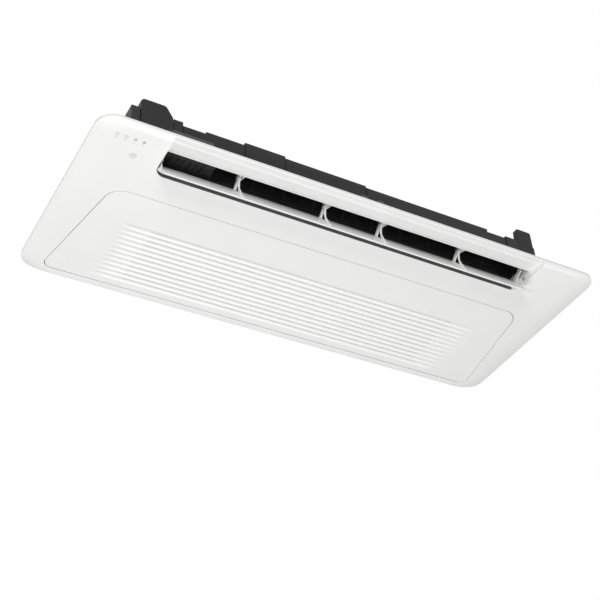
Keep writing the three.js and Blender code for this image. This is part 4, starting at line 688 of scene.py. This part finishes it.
def intake_grille():
    """The hinged grille. Its skin has rows across it, closer together at its edges and at each break of
    a louvre's section, and columns that run straight over the louvres and follow the outline outside
    them. The face is the panel's, plus a quarter round at the edge and the louvres' depth, and the
    cells in the air slits are left out. Behind it are a wall, the filter's tray, hinge knuckles and
    the strikers that the latches push against."""
    (_, near, near_r), (_, far, far_r) = GRILLE[0], GRILLE[2]
    edge = np.array([0, 0.12, 0.35, 0.75, 1.6])
    crests = RIB_START + np.arange(RIB_COUNT)[:, None] * RIB_PITCH
    rib_rows = crests + RIB_PITCH * np.array(RIB_PATH)[None, :-1, 0]
    corner_near = near + near_r * (1 - np.cos(np.radians(np.linspace(0, 90, 16))))
    corner_far = far - far_r * (1 - np.cos(np.radians(np.linspace(90, 0, 12))))
    ys = np.unique(np.round(np.concatenate([
        near + edge, corner_near, np.linspace(-25, RIB_START - 4, 5), rib_rows.ravel(),
        [RIB_START + RIB_COUNT * RIB_PITCH], corner_far, far - edge]), 4))
    ys = ys[np.r_[True, np.diff(ys) > 0.05]]
    width = half_width(ys)[:, None]
    fade = RIB_HALF - np.linspace(0, RIB_FADE, 9)
    plain = np.linspace(0, RIB_HALF - RIB_FADE, 42)[:-1]
    columns = np.unique(np.r_[plain, fade])
    outer = np.sort(1 - np.r_[edge, 4, 9, 16, 26, 38, 50] / 62.0)
    inner_end = np.minimum(RIB_HALF, width - 2)
    outwards = (width - inner_end) * (outer[1:] - outer[0]) / (1 - outer[0])
    right = np.hstack([columns * (inner_end / RIB_HALF), inner_end + outwards])
    x = np.concatenate([-right[:, :0:-1], right], 1)
    y = np.repeat(ys[:, None], x.shape[1], 1)
    round_r = 0.75
    turn = np.clip(1 - edge_distance(x, y, GRILLE) / round_r, 0, 1)
    lift = round_r * (1 - np.sqrt(np.maximum(1 - turn ** 2, 0)))
    face = face_height(x, y)
    wave = rib_depth(x, y)
    front = np.stack([x, y, face + lift + wave], -1)
    back = np.stack([x, y, face + np.maximum(SKIN, wave + 1.3)], -1)
    share = ((ys[:-1] + ys[1:]) / 2 - RIB_START) / RIB_PITCH
    in_ribs = (share > 0) & (share < RIB_COUNT)
    share = share - np.floor(share)
    slit_row = in_ribs & (share > SLIT_SHARE[0]) & (share < SLIT_SHARE[1])
    middle = (x[:, :-1] + x[:, 1:]) / 2
    keep = ~(slit_row[:, None] & (np.abs(middle[:-1]) < RIB_HALF - 1.6 * RIB_FADE))
    skin = masked_plate(front, back, keep)

    path, facing = outline(GRILLE, [60, 20, 60, 20])
    wall = slab([path - facing * 8, (path - facing * 10.5)[::-1]], -13.4, -6.0, "xy", 0.3)

    def tray_line(by, far_by):
        """The filter's oblong, moved out by a distance, and by another on its far side."""
        x, y0, y1 = 448.0 + by, -22.0 - by, 208.0 + far_by
        return [(-x, y0), (x, y0), (x, y1), (-x, y1)]

    tray = slab([tray_line(4, 3.4), tray_line(1, 0.8)[::-1]], -13.4, -7.0, "xy", 0.3)
    bars = [block((x0 - 2, -24, -12.2), (x0 + 2, 210, -9.6), 0.3) for x0 in (-225, 0, 225)]
    knuckle = [(-5, 1.8), (5, 1.8), (5, 3.0), (4.6, 3.4), (-4.6, 3.4), (-5, 3.0)]
    knuckles = [turned(knuckle, (x0, HINGE_Y, HINGE_Z), "x", 28, True) for x0 in (-HINGE_X, HINGE_X)]
    strikers = [block((x0 - 6, -52, -13.0), (x0 + 6, -40, -5.3)) for x0 in (-LATCH_X, LATCH_X)]
    piece("intake_grille_moulding", [skin, wall, tray, *knuckles, *strikers, *bars], "panel_white",
          "grille", ("intake_grille",), 30)


intake_grille()


# ------------------------------------------------------------------ outlet liner, under the vane
def bent_strip(path, x0, x1, thick):
    """A strip of one thickness along X whose section follows a path of (y, z) on its right side."""
    path = np.asarray(path, float)
    run = np.gradient(path, axis=0)
    run /= np.linalg.norm(run, axis=1, keepdims=True)
    other = path + np.stack([-run[:, 1], run[:, 0]], 1) * thick
    loop = np.vstack([path, other[::-1]])
    area = np.sum(loop[:, 0] * np.roll(loop[:, 1], -1) - loop[:, 1] * np.roll(loop[:, 0], -1))
    return slab([loop if area > 0 else loop[::-1]], x0, x1, "yz", 0.3)


def arc(y, z, radius, start, end, steps):
    """Points on an arc about (y, z), from a start to an end angle in degrees."""
    turn = np.radians(np.linspace(start, end, steps))
    return np.stack([y + radius * np.cos(turn), z + radius * np.sin(turn)], 1)


def outlet_liner():
    """The white lining of the outlet: a ramp from the ledge to the throat, the duct's near wall, end
    walls with bores for the vane's pins, a cheek on each, and two lugs at each of the vane's arms. A
    dark lining sweeps round the far side on an arc about the vane's pins, and a grey sheet, a thin
    five-sided section carried along the slot's outline, covers the slot's far wall as painted shade."""
    duct = SLOT_HALF + 0.5
    ramp = recess_strip([(-226.7, -1.2), (-226.3, -1.35), (-220, 0.1), (-212, 1.9), (-206, 3.3),
                         (-201, 4.6), (-197, 6.0), (-194.4, 7.2), (-193.9, 7.6), (-193.8, 8.6)], (2.6, 11.5))
    near_wall = bent_strip([(-182, 24), (-188, 15), (-193.2, 8.4)], -duct - 1, duct + 1, 2.4)
    sweep = bent_strip(arc(PIVOT_Y, PIVOT_Z, 47.5, 12, -23.5, 20), -duct - 1, duct + 1, 2.5)
    side = [(-226, -2.2), (-126, -2.2), (-122.5, 16), (-123.2, 30.2), (-140, 33), (-181, 26), (-194.5, 8)]
    ends, cheeks = [], []
    for s in (-1, 1):
        x0, x1 = sorted((s * duct, s * (duct + 3)))
        ends.append(slab([side, circle(PIVOT_Y, PIVOT_Z, 2.5, 24, True)], x0, x1, "yz", 0.3))
        x0, x1 = sorted((s * 446.7, s * 447.6))
        cheeks.append(block((x0, -196, -13.6), (x1, -176.4, 9), 0.2))
    shape, _ = outline([(-197.5, 9.6, 0.6), (-189.0, 8.0, 2.5), (-166.6, 15.5, 5.0), (-168.0, 25.4, 5.0),
                        (-182.5, 23.0, 1.0)], [8, 8, 10, 10, 8])
    lug = [shape, circle(PIVOT_Y, PIVOT_Z, 2.5, 20, True)]
    lugs = [slab(lug, x + at, x + at + 2.2, "yz", 0.4) for x in ARM_XS for at in (-4.7, 2.5)]
    piece("outlet_liner", [ramp, near_wall, *ends, *lugs, *cheeks], "duct_white", "chassis",
          ("outlet_frame",), 34)
    slot, facing = outline(oblong(SLOT_HALF, -190, SLOT_FAR, 0, SLOT_FAR_CORNER), [2, 40, 300, 40])
    keep = (slot[:, 1] > -176) & (slot[:, 0] < SLOT_HALF - 12)
    # from the left end round to the right, and up the left wall first
    order = np.argsort(slot[keep, 0] + 0.001 * np.sign(slot[keep, 0]) * -slot[keep, 1])
    wall, facing = slot[keep][order], facing[keep][order]
    # the grey sheet in front of the slot's far wall is painted shade, standing for the wall's deep shadow
    rows = [(0.05, -14.3), (0.55, -13.9), (0.6, -7), (0.6, -0.6), (0.05, -0.5)]
    slot_shade_sheet = np.stack([at_height(wall - facing * by, z) for by, z in rows])
    slot_shade_points, slot_shade_faces = grid(slot_shade_sheet, True, False)
    first = [k * len(wall) for k in range(len(rows))]
    slot_shade_faces += [first, [k + len(wall) - 1 for k in first[::-1]]]
    piece("slot_wall_painted_shade", [(slot_shade_points, slot_shade_faces)], "rubber_black", "chassis", material=SLOT_WALL_PAINTED_SHADE)
    piece("outlet_sweep_lining", [sweep], "rubber_black", "chassis")


outlet_liner()


# ------------------------------------------------------------------ airflow vane
def airflow_vane():
    """The vane, drawn closed about its pins and then turned open. One section, whose outer face sweeps
    up on a wide radius to its near edge, is carried along X, and at both ends its two long edges draw
    in by r - sqrt(r^2 - (r - distance from the end)^2). It hangs on four arms, each with a window and a
    low foot, and on a lever at each end, behind a fin."""
    half = 445.0
    y0, y1, z0, z1 = -74.0, 29.5, -35.0, -29.0  # the blade's section, from the pins as it is closed
    loop, _ = outline([(y0 + 2.6, z0 + 2.6, 2), (y0 + 22, z0, 50), (y1, z0, 1.6), (y1, z1, 1.6),
                       (y0 + 3, z1, 1.5), (y0 + 0.1, z1 - 1.2, 0.9)], [8, 30, 8, 30, 8, 8])
    inset = np.linspace(0, 1, 9) ** 1.5 * 21
    stations = np.unique(np.r_[inset - half, np.linspace(-half + 24, half - 24, 60), half - inset])
    from_end = half - np.abs(stations)

    def drawn_in(radius):
        """How far a rounded corner takes an edge in, at each station."""
        return radius - np.sqrt(np.maximum(radius ** 2 - np.maximum(radius - from_end, 0) ** 2, 0))

    low, high = y0 + drawn_in(8), y1 - drawn_in(20)
    share = (loop[:, 0] - y0) / (y1 - y0)
    y = low[:, None] + share[None] * (high - low)[:, None]
    z = np.repeat(loop[None, :, 1], len(stations), 0)
    count = len(loop)
    points, faces = grid(np.stack([np.repeat(stations[:, None], count, 1), y, z], -1), False, True)
    ends = [list(range(count))[::-1], [k + (len(stations) - 1) * count for k in range(count)]]
    forms = [(points, faces + ends)]
    web, _ = outline([(-59, z1 - 1, 0), (5.2, z1 - 1, 0), (7.2, -3, 4), (5.0, 6.4, 6.0), (-6.6, 5.6, 6.0),
                      (-8.6, -7, 6), (-19, -17.5, 14), (-58, z1 + 0.9, 3)], [16, 8, 8, 8, 8, 8, 12, 8])
    window, _ = outline([(-31, z1 + 2.6, 1.2), (-2.6, z1 + 2.6, 2.5), (-1.2, -9.2, 1.5),
                         (-11.5, -15.2, 5)], [12, 8, 8, 12])
    for x in ARM_XS:
        forms.append(slab([web, window[::-1]], x - 2.2, x + 2.2, "yz", 0.7))
        forms.append(slab([[(x - 7, z1 - 1), (x + 7, z1 - 1), (x + 4, z1 + 0.7), (x + 2, z1 + 2.6),
                            (x - 2, z1 + 2.6), (x - 4, z1 + 0.7)]], -56, 4, "xz", 0.5))
    fin, _ = outline([(-38, z1 - 1, 0), (7, z1 - 1, 0), (4.5, z1 + 3.5, 2), (-12.5, -13.5, 2.5),
                      (-31.5, -24.5, 3)], [10, 6, 10, 10, 6])
    lever, _ = outline([(-7, z1, 0), (4, z1, 0), (6.4, -2, 4), (4.6, 6, 6), (-6, 5.4, 6), (-6.4, -3, 5)],
                       [8] * 6)
    levers = []
    for s in (-1, 1):
        forms.append(slab([fin], s * 442.2 - 1.3, s * 442.2 + 1.3, "yz", 0.5))
        levers.append(slab([lever, circle(0, 0, 2.4, 20, True)], s * 438.2 - 1.6, s * 438.2 + 1.6, "yz", 0.4))
    forms, levers = ([(opened(points), faces) for points, faces in made] for made in (forms, levers))
    piece("vane_lever_left", levers[:1], "duct_white", "blade", ("blade_lever_left",))
    pin = rod((0, PIVOT_Y, PIVOT_Z), "x", 2.1, 439.0, 452.4, 24)
    piece("vane_lever_right", [levers[1], pin], "duct_white", "blade", ("blade_lever_right",))
    piece("airflow_vane", forms, "panel_white", "blade", ("airflow_blade",), 34)


airflow_vane()


# ------------------------------------------------------------------ cross-flow fan
def cross_flow_fan():
    """The fan wheel: 35 curved blades in each section between two discs, every section turned on by a
    third of a blade's step. A blade's line leans by 16 degrees times s to 1.4, with s going from 0 at
    the inner to 1 at the outer radius, and its thickness swells by a half sine."""
    blades = 35
    inner, outer, thick = 34.2, 44.4, 0.9
    s = np.linspace(0, 1, 5)
    radius = inner + (outer - inner) * s
    lean = np.radians(16 * s ** 1.4)
    line = np.stack([radius * np.cos(lean), radius * np.sin(lean)], 1)
    run = np.gradient(line, axis=0)
    run /= np.linalg.norm(run, axis=1, keepdims=True)
    width = thick * (0.55 + 0.45 * np.sin(np.pi * np.clip(s * 0.9 + 0.05, 0, 1)))
    side = np.stack([-run[:, 1], run[:, 0]], 1) * width[:, None] / 2
    section = np.vstack([line + side, (line - side)[::-1]])
    discs = [FAN_LEFT + 1.2] + [round(FAN_RIGHT - 1.2 - FAN_PITCH * k, 3) for k in range(9, -1, -1)]
    n = len(section)
    faces = [[k, (k + 1) % n, (k + 1) % n + n, k + n] for k in range(n)]
    faces += [list(range(n))[::-1], list(range(n, 2 * n))]
    forms = []
    for number, (x0, x1) in enumerate(zip(discs, discs[1:])):
        turn = np.arange(blades) * 2 * math.pi / blades + np.radians(360 / blades / 3 * number)
        for cos, sin in zip(np.cos(turn), np.sin(turn)):
            y = section[:, 0] * cos - section[:, 1] * sin + FAN_Y
            z = section[:, 0] * sin + section[:, 1] * cos + FAN_Z
            blade = np.stack([y, z], 1)
            forms.append((np.vstack([on_plane(blade, x, "yz") for x in (x0 + 1, x1 - 1)]), faces))
    rings = []
    for x in discs:
        inner_r = 14.0 if x in (discs[0], discs[-1]) else 31.5
        profile = [(-1.1, inner_r), (1.1, inner_r), (1.1, FAN_R - 0.4), (0.7, FAN_R), (-0.7, FAN_R),
                   (-1.1, FAN_R - 0.4)]
        rings.append(turned(profile, (x, FAN_Y, FAN_Z), "x", 72, True))
    hubs = [turned([(0, 5.3), (0, 15), (20, 12), (20, 5.3)], (FAN_LEFT, FAN_Y, FAN_Z), "x", 32, True),
            turned([(-20, 5.3), (-20, 12), (0, 15), (0, 5.3)], (FAN_RIGHT, FAN_Y, FAN_Z), "x", 32, True)]
    piece("fan_wheel", [join(*forms), *rings, *hubs], "fan_black", "fan", ("cross_flow_fan",), 34)


cross_flow_fan()


# ------------------------------------------------------------------ filter and coil, above the grille
def filter_netting():
    """Woven netting in the filter's windows: flat threads of 0.3 mm every 2.8 mm, both ways."""
    threads = []
    for x in np.arange(-444, 445, 2.8):
        threads.append(block((x - 0.15, -18, -8.35), (x + 0.15, 204, -8.05), 0.05))
    for y in np.arange(-17, 204, 2.8):
        threads.append(block((-445, y - 0.15, -8.05), (445, y + 0.15, -7.75), 0.05))
    piece("filter_netting", [join(*threads)], "filter_dark", "grille")


def coil():
    """Slanted stack of thin aluminium fins, one every 2.2 mm, on the coil's tubes."""
    foot, head = np.array([-30.0, 52.0]), np.array([186.0, 113.0])
    along = (head - foot) / np.linalg.norm(head - foot)
    across = np.array([-along[1], along[0]]) * 12.9
    section = np.array([foot - across, head - across, head + across, foot + across])
    faces = [[3, 2, 1, 0], [4, 5, 6, 7], [0, 1, 5, 4], [1, 2, 6, 5], [2, 3, 7, 6], [3, 0, 4, 7]]
    fins = [(np.vstack([on_plane(section, x + by, "yz") for by in (-0.1, 0.1)]), faces)
            for x in np.arange(-384.5, 384.6, 2.2)]
    plates = [slab([section], x - 0.6, x + 0.6, "yz", 0.2) for x in (-385.2, 385.2)]
    rods = [rod((0, *(foot + along * at + side * across / 2)), "x", 3.4, -386, 386, 16)
            for at in np.arange(14, 215, 23) for side in (-1, 1)]
    piece("coil_fins_stack", [join(*fins), *plates], "fin_aluminium", "chassis", ("coil_fins",))
    piece("coil_tubes", rods, "copper_tube", "chassis")


filter_netting()
coil()


# ------------------------------------------------------------------ CAD nodes whose shape is right
# the node, the new piece's name and the width of its rounded edges
SOFTENED = {
    "base_plate": ("base_sheet", 0.5), "control_cover": ("control_box_lid", 1.4),
    "top_plate": ("top_sheet", 0.4), "hanger_left_near": ("hanger_bracket_1", 0.7),
    "hanger_left_far": ("hanger_bracket_2", 0.7), "hanger_right_near": ("hanger_bracket_3", 0.7),
    "hanger_right_far": ("hanger_bracket_4", 0.7), "motor_cover": ("motor_shroud", 0.6),
    "drain_pan": ("drain_tray", 1.2), "motor_bracket": ("motor_cradle", 0.5),
    "drain_socket": ("drain_spout", 0.6), "air_filter": ("filter_frame", 0.4),
    "terminal_block": ("wire_terminals", 0.5), "drain_pump": ("lift_pump", 0.8),
    "control_board": ("controller_board", 0.3), "blade_motor": ("vane_motor", 0.5),
    "fan_motor": ("blower_motor", 1.0),
}
bodies_of = {name: body for body, names in frame["record"]["behaviour"]["bodies"].items() for name in names}
slots_of = {row["node"]: row["material_slot"] for row in frame["record"]["subparts"]}
for source, (name, width) in SOFTENED.items():
    softened(name, source, slots_of[source], bodies_of[source], width)


# ------------------------------------------------------------------ casing, seen above the rim
def rounded_block(shape, y0, y1, radius):
    """An outline in X and Z, run from y0 to y1, with its front edge rounded by a quarter circle."""
    turn = np.linspace(0, math.pi / 2, 7)
    rows = [(y1, 0.0)] + [(y0 + radius * (1 - math.sin(t)), radius * (1 - math.cos(t))) for t in turn]
    rings = [on_plane(shrunk(shape, by), y, "xz") for y, by in rows]
    points, faces = grid(np.stack(rings), False, True)
    count = len(shape)
    return points, faces + [list(range(count)), [k + (len(rows) - 1) * count for k in range(count)][::-1]]


def casing():
    """The moulded casing with its rounded corner towers, black strips at its steps that are painted shade
    for the grooves there, and the flange tabs of the steel base, their grey painted lighter for the
    light their edges catch."""
    body = softened("body_casing", "housing", "chassis_dark", "chassis", 1.4)
    # the node's own square towers come off, and rounded ones take their place
    cut(body, [block((-499, -190, 46), (-424.8, -157.2, 137), 0.0001),
               block((435.8, -190, 90.2), (482.5, -176, 137), 0.0001)])
    left, _ = outline([(-497, 42, 0), (-426, 42, 0), (-426, 107, 10), (-442, 135.2, 9), (-497, 135.2, 8)],
                      [16, 16, 16, 16, 20])
    right, _ = outline([(434.8, 42, 0), (481.6, 42, 0), (479.4, 134.6, 5), (438.5, 135.1, 6),
                        (436.2, 92, 4)], [16, 24, 12, 14, 8])
    towers = [rounded_block(left, -190.6, -157, 4.5), rounded_block(right, -187.5, -174.8, 2.5),
              block((-498, -183.6, 42), (-484, -157, 106), 1.0)]
    piece("casing_towers", towers, "chassis_dark", "chassis")
    # black strips at the casing's steps: painted shade for the shadows in the grooves there
    step_shade_strips = [block((x - 1.1, -187.5, 44), (x + 1.1, -186, top - 1.2), 0.3) for x, top in
              ((-404, 97), (-263, 102), (-168, 104), (30, 100), (402, 98), (-425.6, 97))]
    piece("casing_step_painted_shade", step_shade_strips, "rubber_black", "chassis")
    # the flange tabs are a lighter copy of the base plate's coat, painted light for their lit edges
    tabs = [block((x0, -190.2, 47), (x1, -187, top), 0.3) for x0, x1, top in
            ((-430, -336, 73.5), (13, 31, 71.5), (54, 71, 71.5))]
    piece("casing_flange", tabs, "base_dark", "chassis", material=FLANGE_PAINTED_LIGHT)


casing()

# the CAD nodes that stay in sight keep their shapes and get their real finishes
for name, cad in frame["nodes"].items():
    cad.data.materials.clear()
    cad.data.materials.append(MATERIALS[slots_of[name]])


# ------------------------------------------------------------------ stage and light
def lamp(name, place, aim, side, watts):
    """A white square lamp, its place and aim in metres."""
    data = bpy.data.lights.new(name, "AREA")
    data.shape, data.size = "SQUARE", side
    data.energy = watts
    made = bpy.data.objects.new(name, data)
    made.location = place
    made.rotation_euler = (Vector(aim) - Vector(place)).to_track_quat("-Z", "Y").to_euler()
    bpy.context.collection.objects.link(made)


def stage():
    """A pale floor far below the unit, an even white surround and soft light from below and the left."""
    scene = bpy.context.scene
    scene.view_settings.view_transform = "Standard"
    floor = bpy.data.objects.new("studio_floor", bpy.data.meshes.new("studio_floor"))
    side, depth = 12.0, -3.4
    corners = [(-side, -side, depth), (side, -side, depth), (side, side, depth), (-side, side, depth)]
    floor.data.from_pydata(corners, [], [(0, 1, 2, 3)])
    bpy.context.collection.objects.link(floor)
    pale = bpy.data.materials.new("painted_board_pale")
    pale.use_nodes = True
    tree = pale.node_tree
    tree.nodes.clear()
    speckle = node(tree, "TexNoise", {"Scale": 30.0, "Detail": 2.0})
    tone = node(tree, "Mix", {"Factor": speckle.outputs["Fac"], 6: linear("#f4f4f4"), 7: linear("#f1f1f1")},
                data_type="RGBA")
    paint = node(tree, "BsdfPrincipled", {"Base Color": tone.outputs[2], "Roughness": 0.8})
    node(tree, "OutputMaterial", {"Surface": paint.outputs["BSDF"]})
    floor.data.materials.append(pale)

    world = bpy.data.worlds.new("white_surround")
    scene.world = world
    world.use_nodes = True
    tree = world.node_tree
    tree.nodes.clear()
    path = node(tree, "LightPath")
    camera_or_gloss = node(tree, "Math", {0: path.outputs["Is Camera Ray"], 1: path.outputs["Is Glossy Ray"]},
                           operation="MAXIMUM")
    seen = node(tree, "Math", {0: camera_or_gloss.outputs[0], 1: path.outputs["Is Transmission Ray"]},
                operation="MAXIMUM")
    ambient = node(tree, "Background", {"Color": linear("#ffffff"), "Strength": 0.35})
    white = node(tree, "Background", {"Color": linear("#ffffff"), "Strength": 1.0})
    blend = node(tree, "MixShader", {0: seen.outputs[0], 1: ambient.outputs[0], 2: white.outputs[0]})
    node(tree, "OutputWorld", {"Surface": blend.outputs[0]})
    lamp("softbox_below", (-0.45, -0.6, -3.2), (0, 0, 0), 1.6, 56)
    lamp("softbox_front", (-2.4, -4.2, -1.3), (0, -0.1, 0), 1.5, 96)


stage()
